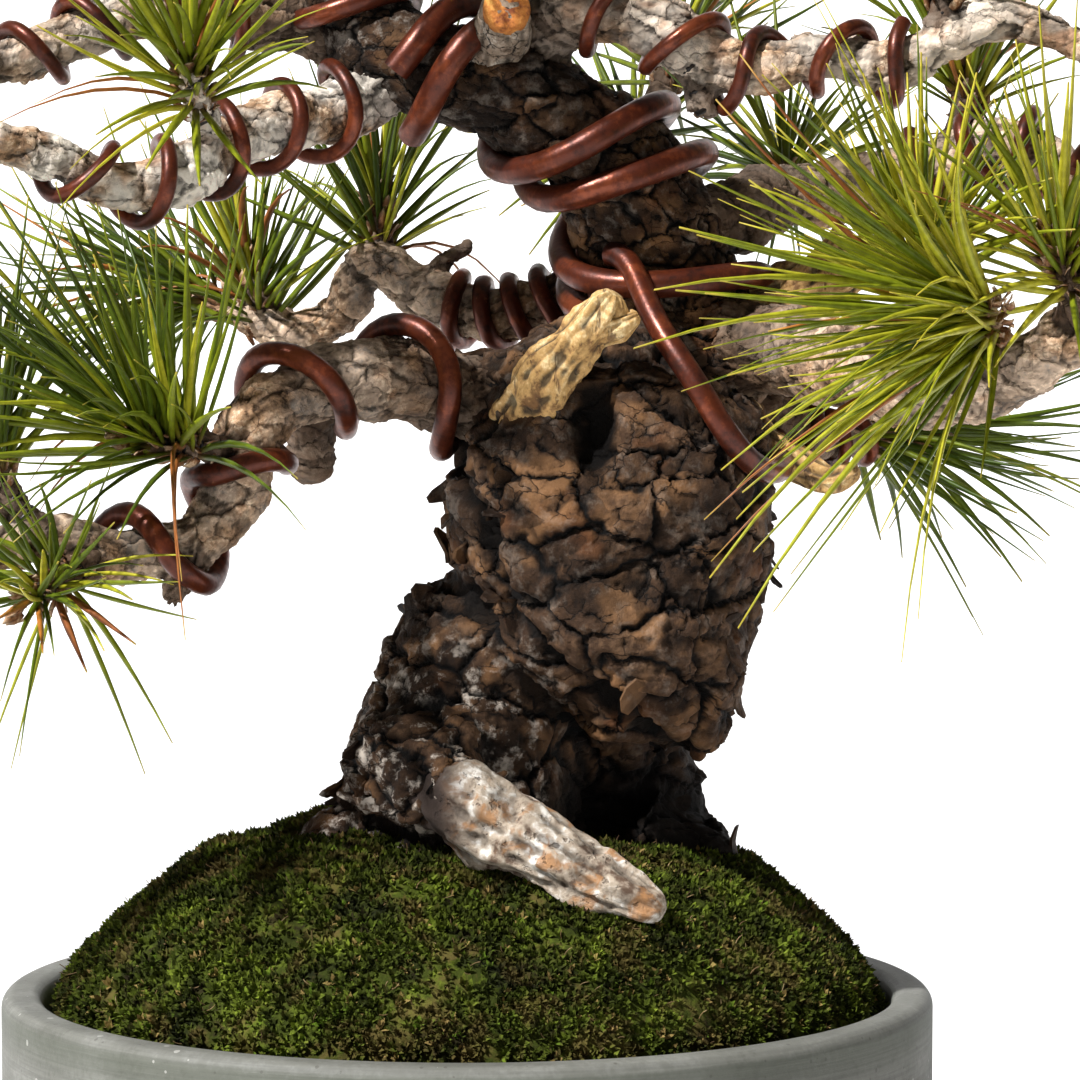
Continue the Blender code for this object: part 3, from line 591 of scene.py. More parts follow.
def makeYoungBark():
    made, tree = newMaterial("youngBark", 0.75, 0.0, 0.15)
    where = objectPlace(tree)
    tones = patches(tree, (0.06, 0.032, 0.018), (0.36, 0.215, 0.12), (0.86, 0.65, 0.45), 0.008, 0.0012)
    pale = times(tree, attribute(tree, "pale"),
                 remap(tree, noiseAt(tree, where, 0.018, 4, 0.6), 0.36, 0.56))
    ring = attribute(tree, "ring")
    colour = mixColour(tree, pale, tones.outputs["Color"], (0.74, 0.67, 0.58))
    colour = mixColour(tree, times(tree, ring, 0.75), colour, (0.07, 0.045, 0.03))
    rust = remap(tree, noiseAt(tree, where, 0.008, 2), 0.56, 0.7, 0, 0.6)
    colour = mixColour(tree, rust, colour, (0.33, 0.14, 0.055))
    plates = addNode(tree, "ShaderNodeGroup", node_tree=plateGroup)
    # plate tone: each plate's own random tone plus painted shading along its tilt
    shade = remap(tree, plates.outputs["Plate"], 0.15, 0.85, 0.75, 1.2, smooth=False)
    colour = shaded(tree, colour, shade)
    colour = mixColour(tree, attribute(tree, "old"), colour, (0.07, 0.042, 0.027))
    colour = mixColour(tree, remap(tree, plates.outputs["Crack"], 0, 1, 0.75, 1), (0.02, 0.012, 0.007), colour)
    colour = cavityPaintedShading(tree, colour, 1.25, 0.4)
    fine = noiseAt(tree, where, 0.0009, 6, 0.7, 0.5)
    return finishSkin(made, colour, plus(tree, plates.outputs["Height"], fine), 0.0005, 0.9)


oldBark = makeOldBark()
youngBark = makeYoungBark()


# wood: tubes along the routes grown into one body, then given a relief

def makeReliefTree():
    # plates with cracks between them, thin layers standing over each other, and fine grain
    labels = {"Plate Size": 0.0, "Plate Height": 0.0, "Plate Tilt": 0.0, "Crack Depth": 0.0, "Layer Height": 0.0,
              "Grain Height": 0.0, "Lump Height": 0.0, "Bark": oldBark}
    tree, given, out = newGeometryTree("barkRelief", labels)
    value = given.outputs
    where = addNode(tree, "GeometryNodeInputPosition").outputs[0]
    rest = vectorMaths(tree, "SCALE", where, maths(tree, "DIVIDE", 1, value["Plate Size"]))
    found = plateField(tree, rest, 2.4)
    terraces = times(tree, noiseAt(tree, found["bent"], 1.2, 4, 0.6, 0.8), 9)
    layer = plus(tree, maths(tree, "FLOOR", terraces), remap(tree, maths(tree, "FRACT", terraces), 0.7, 1.0))
    layer = times(tree, maths(tree, "SUBTRACT", layer, 4.5), value["Layer Height"])
    grain = maths(tree, "SUBTRACT", noiseAt(tree, where, 0.0022, 4, 0.65), 0.5)
    lump = maths(tree, "SUBTRACT", noiseAt(tree, where, 0.028, 2), 0.5)
    height = times(tree, maths(tree, "SUBTRACT", found["large"]["tone"], 0.5), value["Plate Height"])
    smallTone = maths(tree, "SUBTRACT", found["small"]["tone"], 0.5)
    small = times(tree, smallTone, times(tree, value["Plate Height"], 0.4))
    slope = plus(tree, found["large"]["slope"], times(tree, found["small"]["slope"], 0.6))
    slope = times(tree, slope, times(tree, value["Plate Tilt"], value["Plate Size"]))
    sink = times(tree, maths(tree, "SUBTRACT", found["crack"], 1), value["Crack Depth"])
    nick = times(tree, maths(tree, "SUBTRACT", found["nick"], 1), times(tree, value["Crack Depth"], 0.4))
    total = plus(tree, height, small)
    for more in (sink, nick, layer, slope, times(tree, grain, value["Grain Height"]),
                 times(tree, lump, value["Lump Height"])):
        total = plus(tree, total, more)
    total = times(tree, total, storedValue(tree, "relief"))
    normal = addNode(tree, "GeometryNodeInputNormal").outputs[0]
    shape = addNode(tree, "GeometryNodeStoreNamedAttribute", {"Geometry": value["Geometry"], "Name": "rest"},
                    data_type="FLOAT_VECTOR", domain="POINT")
    tree.links.new(rest, next(socket for socket in shape.inputs if socket.name == "Value" and socket.enabled))
    moved = moveBy(tree, shape.outputs[0], vectorMaths(tree, "SCALE", normal, total))
    tree.links.new(realPlain(tree, moved, value["Bark"]), out.inputs["Geometry"])
    return tree


reliefTree = makeReliefTree()
trunkLook = {"voxel": 0.85, "lump": 0.07, "Plate Size": 17, "Plate Height": 1.1, "Plate Tilt": 0.17,
             "Crack Depth": 1.5, "Layer Height": 0.55, "Grain Height": 0.8, "Lump Height": 5.0}
leaderLook = {"voxel": 0.7, "lump": 0.08, "Plate Size": 10, "Plate Height": 0.9, "Plate Tilt": 0.25,
              "Crack Depth": 1.0, "Layer Height": 0.25, "Grain Height": 0.6, "Lump Height": 2.5}
branchLook = {"voxel": 0.55, "lump": 0.13, "Plate Size": 9, "Plate Height": 0.35, "Plate Tilt": 0.16,
              "Crack Depth": 0.25, "Layer Height": 0.34, "Grain Height": 0.5, "Lump Height": 2.2}
woodStep = 2.5  # between a route's samples, in millimetres


def growWood(name, routes, look, surface):
    bm = bmesh.new()

    def lumpy(place, radius, *_):
        return radius * (1 + look["lump"] * 2 * noise.noise(place / (radius * 1.3 + 0.004)))

    for points in routes.values():
        addTube(bm, roundedEnds(walkRoute(points, woodStep * mm)), 20, lumpy)
    piece = newPiece(name, bm, surface)
    remesh = piece.modifiers.new("grow together", "REMESH")
    remesh.mode = "VOXEL"
    remesh.voxel_size = look["voxel"] * mm
    soften = piece.modifiers.new("soften", "SMOOTH")
    soften.factor = 0.5
    soften.iterations = 6
    return settle(piece)


def stepsAlong(spots, routes):
    # for each point, how far along its own route the nearest wood lies, in millimetres
    samples = [(*pair, index) for points in routes.values()
               for index, pair in enumerate(walkRoute(points, woodStep * mm))]
    centres = np.array([place for place, _, _ in samples], np.float32)
    radii = np.array([radius for _, radius, _ in samples], np.float32)
    nearest = np.empty(len(spots), int)
    for first in range(0, len(spots), 4000):
        part = spots[first:first + 4000]
        gaps = np.linalg.norm(part[:, None, :] - centres[None, :, :], axis=2) - radii
        nearest[first:first + 4000] = gaps.argmin(axis=1)
    return np.array([index for _, _, index in samples])[nearest] * woodStep


def sinkSurface(piece, depth):
    # moves each vertex in along its normal, by a depth in millimetres
    moved = meshRows(piece.data, "co") - meshRows(piece.data, "normal") * (depth * mm)[:, None]
    piece.data.vertices.foreach_set("co", moved.astype(np.float32).ravel())


def addRelief(piece, look):
    values = {label: look[label] * mm for label in look if label[0].isupper()}
    values.update({"Plate Tilt": look["Plate Tilt"], "Bark": piece.data.materials[0]})
    runGeometryTree(piece, reliefTree, values)


def between(values, low, high):
    share = np.clip((values - low) / (high - low), 0, 1)
    return share * share * (3 - 2 * share)


def addHollows(piece, passes, span):
    # attribute "cavity": over a half where a point lies below the surface around it,
    # under a half where it stands out; the finishes paint shade and highlight from it
    mesh = piece.data
    count = len(mesh.vertices)
    ends = np.empty(len(mesh.edges) * 2, np.int32)
    mesh.edges.foreach_get("vertices", ends)
    first, second = ends[0::2], ends[1::2]
    places, outward = meshRows(mesh, "co").astype(float), meshRows(mesh, "normal")
    share = np.maximum(np.bincount(ends, minlength=count), 1)
    level = places.copy()
    for _ in range(passes):
        level = np.stack([(np.bincount(first, level[second, k], count)
                           + np.bincount(second, level[first, k], count)) / share for k in range(3)], axis=1)
    depth = ((level - places) * outward).sum(axis=1) / (span * mm)
    putValues(mesh, "cavity", np.clip(0.5 + depth / 2, 0, 1))


def localRows(mesh):
    # vertex places in millimetres from the middle of the pot's lip
    return (meshRows(mesh, "co") - np.array(lipCentre)) / mm


print("growing the trunk")
trunk = growWood("trunkBark", trunkRoutes, trunkLook, oldBark)
local = localRows(trunk.data)
front = local[:, 1] < 2


def gully(start, end, width):
    # how much a groove in the front, from start to end as (x, height), sinks each vertex
    (x, z), way = start, np.array(end) - np.array(start)
    length = np.linalg.norm(way)
    way = way / length
    wander = np.array([2.2 * noise.noise(Vector(spot) / 9) for spot in local])
    along = (local[:, 0] - x) * way[0] + (local[:, 2] - z) * way[1]
    aside = (local[:, 0] - x) * way[1] - (local[:, 2] - z) * way[0] + wander
    inside = between(along, -6, 3) * (1 - between(along, length - 3, length + 6))
    return np.exp(-(aside / width) ** 2) * inside * front


trunkMarks = {"hollow": (26.5, 123), "hollowSize": (5.0, 8.5), "hollowDepth": 8, "grooveDepth": 5.0,
              "grooves": (((-5, 119), (7, 86), 2.2), ((3, 86), (46, 50), 2.6))}
(x, z), (wide, tall) = trunkMarks["hollow"], trunkMarks["hollowSize"]
hollow = np.exp(-(((local[:, 0] - x) / wide) ** 2 + ((local[:, 2] - z) / tall) ** 2) ** 2) * (local[:, 1] < -10)
groove = np.maximum(*(gully(*line) for line in trunkMarks["grooves"]))
sinkSurface(trunk, hollow * trunkMarks["hollowDepth"] + groove * trunkMarks["grooveDepth"])
low = 1 - between(local[:, 2], 60, 84)
putValues(trunk.data, "relief", 1 - 0.7 * hollow - 0.3 * groove)
# painted shade: near black in the hollow and along the grooves, and a painted shadow in the recess under the
# bulge's overhang
shadowUnderBulge = 0.9 * (1 - between(local[:, 2], 42, 56)) * between(local[:, 0], 13, 24)
putValues(trunk.data, "deep", np.clip(np.maximum(hollow * 0.95, groove * 0.8) + shadowUnderBulge, 0, 1))
putValues(trunk.data, "weather", np.clip(low * (1 - between(local[:, 0], 8, 24)) + 0.12, 0, 1))
putValues(trunk.data, "young", np.zeros(len(local)))
addRelief(trunk, trunkLook)
addHollows(trunk, 14, 1.1)
asPart(trunk, "bark", "trunk")

print("growing the leader")
leader = growWood("leaderBark", leaderRoutes, leaderLook, oldBark)
local = localRows(leader.data)
age = between(-local[:, 0], -12, 22)
putValues(leader.data, "relief", 1 - 0.35 * age)
putValues(leader.data, "weather", 0.25 + 0.6 * age)
# painted shadow: the leader's upper part darkened as if shaded by the crown above it
shadow = between(local[:, 2], 168, 180) * (1 - between(local[:, 0], 22, 34)) * (local[:, 1] < 6)
putValues(leader.data, "deep", 0.5 * shadow)
putValues(leader.data, "young", np.clip(age * between(local[:, 2], 236, 262), 0, 1))
addRelief(leader, leaderLook)
addHollows(leader, 14, 0.8)
asPart(leader, "bark", "leader")

print("growing the branches")
branches = {}
branchTones = {"pale": {"topLeft": 1.0, "cornerLeft": 0.6, "topRight": 0.6}, "otherPale": 0.3, "old": 0.75,
               "ring": 0.35}
for name, routes in branchRoutes.items():
    branch = growWood(joinedName("branch", [name]), routes, branchLook, youngBark)
    steps = stepsAlong(meshRows(branch.data, "co"), routes)
    ring = np.clip(np.sin(steps * 0.9 + np.sin(steps * 0.37) * 3) * 1.6 - 0.9, 0, 1)
    sinkSurface(branch, ring * branchTones["ring"])
    old = 0.0 if name == "topLeft" else branchTones["old"]
    putValues(branch.data, "relief", np.ones(len(steps)))
    putValues(branch.data, "old", old * (1 - between(steps, 22, 46)))
    putValues(branch.data, "ring", ring)
    putValues(branch.data, "pale", np.full(len(steps), branchTones["pale"].get(name, branchTones["otherPale"])))
    addRelief(branch, branchLook)
    addHollows(branch, 12, 0.5)
    asPart(branch, "young_bark", branchNodes[name])
    branches[name] = branch
print("wood done", sum(len(o.data.polygons) for o in [trunk, leader, *branches.values()]))


# dead wood, bare root and sawn ends

def makeDeadwood():
    made, tree = newMaterial("deadwood", 0.7)
    tones = patches(tree, (0.15, 0.07, 0.02), (0.44, 0.26, 0.09), (0.74, 0.56, 0.3), 0.006, 0.0012)
    where = vectorMaths(tree, "MULTIPLY", objectPlace(tree), (1, 1, 0.22))
    grain = noiseAt(tree, where, 0.0008, 5, 0.7)
    split = remap(tree, noiseAt(tree, where, 0.0022, 3, 0.6), 0.56, 0.66)
    colour = mixColour(tree, times(tree, split, 0.75), tones.outputs["Color"], (0.12, 0.06, 0.025))
    colour = cavityPaintedShading(tree, colour, 1.3, 0.25)
    return finishSkin(made, colour, maths(tree, "SUBTRACT", grain, split), 0.0005, 0.8)


def makeBareRoot():
    made, tree = newMaterial("bareRoot", 0.8)
    where = objectPlace(tree)
    tones = patches(tree, (0.11, 0.065, 0.04), (0.42, 0.34, 0.26), (0.86, 0.81, 0.74), 0.008, 0.002)
    rust = remap(tree, noiseAt(tree, where, 0.007, 4, 0.6, 0.5), 0.5, 0.62, 0, 0.85)
    colour = mixColour(tree, rust, tones.outputs["Color"], (0.36, 0.17, 0.06))
    pits = remap(tree, noiseAt(tree, where, 0.0026, 3, 0.6), 0.6, 0.7)
    colour = mixColour(tree, times(tree, pits, 0.6), colour, (0.06, 0.035, 0.02))
    colour = cavityPaintedShading(tree, colour, 1.18, 0.5)
    colour = mixColour(tree, attribute(tree, "covered"), colour, (0.03, 0.016, 0.01))
    fine = noiseAt(tree, where, 0.001, 6, 0.7)
    return finishSkin(made, colour, maths(tree, "SUBTRACT", fine, pits), 0.0007, 0.9)


def makeToned(name, roughness, tones, sizes, grain, depth, strength, metallic=0.0):
    # three tones in patches of the two sizes, with a fine grain
    made, tree = newMaterial(name, roughness, metallic)
    colour = patches(tree, *tones, *sizes).outputs["Color"]
    return finishSkin(made, colour, noiseAt(tree, objectPlace(tree), *grain), depth, strength)


deadwood = makeDeadwood()
bareRootWood = makeBareRoot()
sawnWood = makeToned("sawnWood", 0.65, ((0.26, 0.06, 0.01), (0.6, 0.2, 0.03), (0.78, 0.38, 0.08)),
                     (0.004, 0.0009), (0.0008, 5, 0.7), 0.0006, 1.0)

stubs = {
    "deadStub": [(14, -12, 117, 9), (15, -24, 127, 7.4), (19, -29, 134, 6), (23, -32.5, 139.5, 5),
                 (26.5, -34, 144, 4.7), (29.5, -35, 148.5, 4.4)],
    "deadStubSplinter": [(22, -30, 137, 4), (27, -34, 142, 3.2), (32, -35, 144, 3), (35, -35, 145.5, 2)],
    "hookedStub": [(56, -2, 119, 9), (64, -4, 116.5, 4.8), (71, -6, 112, 3.6), (77, -8, 110, 2.9),
                   (82, -9, 112, 2.1)],
    "tornStub": [(56, 5, 141, 9), (69, 5, 147, 7.5), (80, 3, 153, 6), (87, 1, 158, 2.6)],
    "tornStubShard": [(70, 4, 148, 5), (78, 3, 157, 3.4), (80, 2, 163, 1.4)],
}


def ridged(seed, depth):
    def reach(place, radius, angle, step):
        long = noise.noise(Vector((math.cos(angle) * 1.8, math.sin(angle) * 1.8, step * 0.05 + seed)))
        short = noise.noise(Vector((math.cos(angle) * 3.4, math.sin(angle) * 3.4, step * 0.035 + seed)))
        knob = noise.noise(place / 0.006) + 0.4 * noise.noise(place / 0.0022)
        return radius * (1 + depth * long + depth * 0.7 * short + depth * 0.7 * knob)
    return reach


def ridgedTube(name, points, surface, depth, sides, seed):
    bm = bmesh.new()
    addTube(bm, roundedEnds(walkRoute(points, 0.5 * mm)), sides, ridged(seed, depth))
    return newPiece(name, bm, surface)


for number, (name, points) in enumerate(stubs.items()):
    stub = ridgedTube(name, points, deadwood, 0.32, 90, number * 7.3)
    addHollows(stub, 20, 0.4)
    asPart(stub, "bark", "trunk")

sawnLook = {"route": [(5, -6, 198, 8.5), (7, -14, 203, 6.4), (8, -21, 206.5, 5.6), (8.5, -25.5, 208.5, 5.2)],
            "rings": ((1.0, -1.5), (1.0, 1.6), (0.93, 2.0), (0.7, 2.0), (0.45, 2.1), (0.2, 1.9)),
            "face": 4.9, "rim": 1.2}


def makeSawnStub():
    sawnRoute, sides = sawnLook["route"], 48
    stub = ridgedTube("sawnStub", sawnRoute, oldBark, 0.12, 64, 3.3)
    for label, level in (("weather", 0.7), ("young", 0.8)):
        putValues(stub.data, label, np.full(len(stub.data.vertices), level))
    putValues(stub.data, "rest", [tuple(vert.co / (5 * mm)) for vert in stub.data.vertices], "FLOAT_VECTOR")
    addHollows(stub, 12, 0.4)
    asPart(stub, "bark", "leader")
    end, before = (lipCentre + Vector(spot[:3]) * mm for spot in (sawnRoute[-1], sawnRoute[-2]))
    along = (end - before).normalized()
    bm = bmesh.new()
    rows = []
    for share, rise in sawnLook["rings"]:
        row = []
        for k in range(sides):
            out = Quaternion(along, 2 * math.pi * k / sides) @ along.orthogonal().normalized()
            reach = sawnLook["face"] * share * (1 + 0.05 * noise.noise(out * 3))
            spot = end + along * (rise + sawnLook["rim"]) * mm + out * reach * mm
            row.append(bm.verts.new(spot + along * 0.5 * noise.noise(spot / 0.0012) * mm * (share < 0.95)))
        rows.append(row)
    bridge(bm, rows)
    asPart(newPiece("sawnFace", bm, sawnWood), "bark", "leader")


makeSawnStub()

rootLook = {"route": [(-5, -29, 46.5, 8), (1, -37, 43.5, 9.4), (10, -43, 39, 8.3), (19, -48, 34.5, 7),
                      (27, -52, 30.5, 6), (34, -55, 27.5, 5), (39, -57, 25.5, 3.4)],
            "ridges": 0.25, "sides": 130, "seed": 31.7}
root = ridgedTube("bareRoot", rootLook["route"], bareRootWood, rootLook["ridges"], rootLook["sides"],
                  rootLook["seed"])
addHollows(root, 30, 0.5)
putValues(root.data, "covered", 1 - between(localRows(root.data)[:, 0], -6, 5))
asPart(root, "bark", "trunk")
print("dead wood and root done")


# training wires wound round the wood

def makeWireMetal(name, dark, middle, light, wear):
    made, tree = newMaterial(name, 0.34, 0.45)
    where = objectPlace(tree)
    tones = patches(tree, dark, middle, light, 0.012, 0.0018)
    worn = remap(tree, noiseAt(tree, where, 0.003, 5, 0.75), 0.64, 0.72, 0, 0.5)
    colour = mixColour(tree, worn, tones.outputs["Color"], wear)
    polish = remap(tree, tones.outputs["Fac"], 0.35, 0.65, 0.42, 0.28)
    return finishSkin(made, colour, noiseAt(tree, where, 0.0012, 4, 0.6), 0.00012, 0.6, polish)


anodised = makeWireMetal("anodisedWire", (0.035, 0.008, 0.0045), (0.1, 0.02, 0.008), (0.22, 0.05, 0.018),
                         (0.4, 0.16, 0.08))
blackWire = makeWireMetal("blackWire", (0.006, 0.005, 0.005), (0.014, 0.011, 0.01), (0.03, 0.022, 0.018),
                          (0.08, 0.05, 0.035))


def makeSweepTree():
    # a round wire along the piece's own line of edges
    tree, given, out = newGeometryTree("roundWire", {"Radius": 0.0, "Wire": anodised})
    curve = addNode(tree, "GeometryNodeMeshToCurve", {"Mesh": given.outputs["Geometry"]}).outputs[0]
    circle = addNode(tree, "GeometryNodeCurvePrimitiveCircle",
                     {"Resolution": 14, "Radius": given.outputs["Radius"]}).outputs[0]
    ends = {"Curve": curve, "Profile Curve": circle, "Fill Caps": True}
    swept = addNode(tree, "GeometryNodeCurveToMesh", ends).outputs[0]
    tree.links.new(realPlain(tree, swept, given.outputs["Wire"]), out.inputs["Geometry"])
    return tree


sweepTree = makeSweepTree()


def sweepWire(name, places, radius, metal):
    bm = bmesh.new()
    spots = [bm.verts.new(place) for place in places]
    for first, second in zip(spots, spots[1:]):
        bm.edges.new((first, second))
    piece = newPiece(name, plainMesh(name, bm))
    runGeometryTree(piece, sweepTree, {"Radius": radius, "Wire": metal})
    bm = bmesh.new()
    bm.from_mesh(piece.data)
    bmesh.ops.recalc_face_normals(bm, faces=bm.faces[:])
    bm.to_mesh(piece.data)
    bm.free()
    return piece


wood = {"leader": leader, **branches}


def nearSurface(pieces):
    graph = bpy.context.evaluated_depsgraph_get()
    return [BVHTree.FromObject(piece, graph) for piece in pieces]


def layOn(shapes, place, clearance):
    # moves a point out until it stands clear of the wood
    for shape in shapes:
        near, normal, _, distance = shape.find_nearest(place, 14 * mm)
        if near is None:
            continue
        depth = (near - place).dot(normal)
        if depth > distance * 0.5:
            place = near + normal * clearance
        elif distance < clearance:
            place = near + (place - near).normalized() * clearance
    return place


def woundPlaces(points, start, end, pitch, front, hand, wire, shapes, lift):
    # a helix round the wood from start to end, with a turn's front at the given distance, all in millimetres
    path = walkRoute(points, 0.6 * mm)
    lengths = [0.0]
    for (a, _), (b, _) in zip(path, path[1:]):
        lengths.append(lengths[-1] + (b - a).length / mm)
    around = framesAlong([place for place, _ in path], 0.045)
    places = []
    for (place, radius), s, (_, ahead, across) in zip(path, lengths, around):
        if not start <= s <= end:
            continue
        turn = hand * 2 * math.pi * (s - front) / pitch
        out = ahead * math.cos(turn) + across * math.sin(turn)
        places.append(layOn(shapes, place + out * (radius + wire + lift * mm), wire + 0.1 * mm))
    return evened(places, wire * 0.7)


def evened(places, step):
    kept = [places[0]]
    for place in places[1:]:
        if (place - kept[-1]).length > step:
            kept.append(place)
    for _ in range(3):
        kept = [kept[0]] + [(a + 2 * b + c) / 4 for a, b, c in zip(kept, kept[1:], kept[2:])] + [kept[-1]]
    return kept


wireLook = {"lift": 0.5, "tail": 2.6}
fineLook = {"radius": 0.6, "pitch": 4.6, "start": 3, "end": 40, "front": 5, "hand": 1, "lift": 0.2}
wires = {  # the wood it follows, start, end, pitch, front, hand and radius
    "wire_leader_upper": ("leader", "leader", 12, 98, 36, 60, -1, 3.0),
    "wire_leader_lower": ("leader", "leader", 20, 94, 36, 50.5, -1, 3.0),
    "wire_apex": ("leader", "leader", 108, 132, 13, 116, -1, 2.3),
    "wire_lower_left": ("lowerLeft", "limb", 12, 118, 26, 24, 1, 2.5),
    "wire_middle_back": ("middleBack", "limb", 20, 64, 7.5, 30, 1, 2.0),
    "wire_top_left": ("topLeft", "limb", 12, 96, 17, 20, -1, 1.7),
    "wire_corner_left": ("cornerLeft", "limb", 26, 104, 15, 34, 1, 1.6),
    "wire_top_right": ("topRight", "limb", 24, 104, 17, 32, -1, 1.7),
    "wire_far_right": ("farRight", "limb", 66, 108, 13, 82, 1, 1.8),
    "wire_lower_right": ("lowerRight", "limb", 18, 46, 8.5, 24, 1, 1.5),
}
for name, (group, key, *turns, radius) in wires.items():
    shapes = nearSurface([wood[group]] if group == "leader" else [wood[group], leader, trunk])
    places = woundPlaces(routeOf(group, key), *turns, radius * mm, shapes, wireLook["lift"])
    asPart(sweepWire(joinedName("round", name.split("_")), places, radius * mm, anodised), "training_wire", name)

tailRoute = [(33, -9, 161, 3), (36, -17, 153, 3), (39, -24, 146, 3), (43, -30, 139, 3), (48, -34, 132, 3),
             (52, -35, 125, 3), (57, -33, 118, 3), (61, -27, 114, 3), (65, -19, 112, 3), (67, -8, 114, 3),
             (66, 2, 118, 3)]
shapes = nearSurface([trunk, leader])
tail = evened([layOn(shapes, place, 2.3 * mm) for place, _ in walkRoute(tailRoute, 2 * mm)], 2 * mm)
asPart(sweepWire("roundWireTail", tail, wireLook["tail"] * mm, anodised), "training_wire", "wire_leader_lower")

twigWires = {
    "wire_lower_left": ("lowerLeft", ("twigUp", "twigLow", "twigEdge")),
    "wire_top_left": ("topLeft", ("twigUp", "twigEnd")),
    "wire_corner_left": ("cornerLeft", ("twigUp",)),
    "wire_middle_back": ("middleBack", ("twigUp", "twigLeft")),
    "wire_top_right": ("topRight", ("twigDown", "twigUp")),
    "wire_far_right": ("farRight", ("twigUp", "twigBack")),
}
for name, (group, keys) in twigWires.items():
    shapes = nearSurface([wood[group]])
    for key in keys:
        turns = [fineLook[label] for label in ("start", "end", "pitch", "front", "hand")]
        places = woundPlaces(routeOf(group, key), *turns, fineLook["radius"] * mm, shapes, fineLook["lift"])
        fine = sweepWire(joinedName("fineWire", (group, key)), places, fineLook["radius"] * mm, blackWire)
        asPart(fine, "training_wire", name)
print("wires done")


# needles, buds and shoots

def makeNeedleSkin():
    made, tree = newMaterial("needleSkin", 0.45, 0.0, 0.3)
    tint = attribute(tree, "tint")
    along = attribute(tree, "along")
    ramp = addNode(tree, "ShaderNodeValToRGB", {"Fac": tint})
    steps = ramp.color_ramp
    steps.elements[0].position, steps.elements[0].color = 0.0, (0.04, 0.07, 0.004, 1)
    steps.elements[1].position, steps.elements[1].color = 0.38, (0.1, 0.14, 0.006, 1)
    for position, colour in ((0.68, (0.24, 0.27, 0.009)), (0.9, (0.5, 0.45, 0.03)), (0.93, (0.4, 0.15, 0.025)),
                             (1.0, (0.24, 0.075, 0.02))):
        steps.elements.new(position).color = (*colour, 1)
    tip = remap(tree, along, 0.9, 1.0, 0, 0.7)
    colour = mixColour(tree, tip, ramp.outputs["Color"], (0.5, 0.36, 0.05))
    sheath = remap(tree, along, 0.0, 0.1, 0.9, 0.0)
    colour = mixColour(tree, sheath, colour, (0.26, 0.15, 0.06))
    where = objectPlace(tree)
    mottle = remap(tree, noiseAt(tree, where, 0.003, 3), 0.3, 0.7, 0.78, 1.2)
    colour = shaded(tree, colour, mottle)
    lines = noiseAt(tree, vectorMaths(tree, "MULTIPLY", where, (1, 1, 0.2)), 0.0005, 2)
    return finishSkin(made, colour, lines, 0.0001, 0.4)


def makeScaleSkin():
    made, tree = newMaterial("budScale", 0.65)
    tones = patches(tree, (0.1, 0.035, 0.014), (0.3, 0.13, 0.05), (0.6, 0.42, 0.26), 0.003, 0.0006)
    edge = remap(tree, attribute(tree, "along"), 0.55, 1.0, 0, 0.7)
    colour = mixColour(tree, edge, tones.outputs["Color"], (0.55, 0.42, 0.28))
    return finishSkin(made, colour, noiseAt(tree, objectPlace(tree), 0.0006, 4), 0.0003, 0.7)


needleSkin = makeNeedleSkin()
scaleSkin = makeScaleSkin()


def helperPiece(name, bm):
    return newPiece(name, plainMesh(name, bm))


def makeNeedlePair():
    # two thin needles from one sheath, one unit long along Z;
    # "along" stores how far up the needle each point lies
    bm = bmesh.new()
    shares = []
    for side in (-1, 1):
        rings = []
        for step in range(7):
            t = step / 6
            half = 0.86 * (0.75 + 0.25 * math.sin(math.pi * min(1, t * 1.6)))
            half *= 1 - 0.72 * max(0, t - 0.55) / 0.45
            middle = side * (0.5 + 5.2 * t ** 0.9)
            ring = []
            for x, y in ((-1, 0), (0, -0.62), (1, 0), (0, 0.5)):
                ring.append(bm.verts.new(((middle + x * half) * mm, y * half * mm, t)))
                shares.append(t)
            rings.append(ring)
        bridge(bm, rings, False)
        bm.faces.new(rings[0][::-1])
        bm.faces.new(rings[-1])
    pair = helperPiece("needlePair", bm)
    putValues(pair.data, "along", shares)
    return pair


def makeScaleLeaf():
    # one bud scale
    bm = bmesh.new()
    shares = []
    rings = []
    for t, half, lift in ((0, 0.6, 0), (0.35, 1.0, 0.35), (0.7, 0.75, 0.55), (1.0, 0.12, 1.1)):
        ring = []
        for x, out in ((-1, 0), (0, 0.35), (1, 0), (0, 0.1)):
            ring.append(bm.verts.new((x * half * mm, (lift + out) * -mm * 0.8, t * 4 * mm)))
            shares.append(t)
        rings.append(ring)
    bridge(bm, rings)
    bmesh.ops.recalc_face_normals(bm, faces=bm.faces[:])
    leaf = helperPiece("scaleLeaf", bm)
    putValues(leaf.data, "along", shares)
    return leaf


needlePair = makeNeedlePair()
scaleLeaf = makeScaleLeaf()


tuftPieces = {"Needle": needlePair, "Scale": scaleLeaf, "Needle Skin": needleSkin, "Scale Skin": scaleSkin}


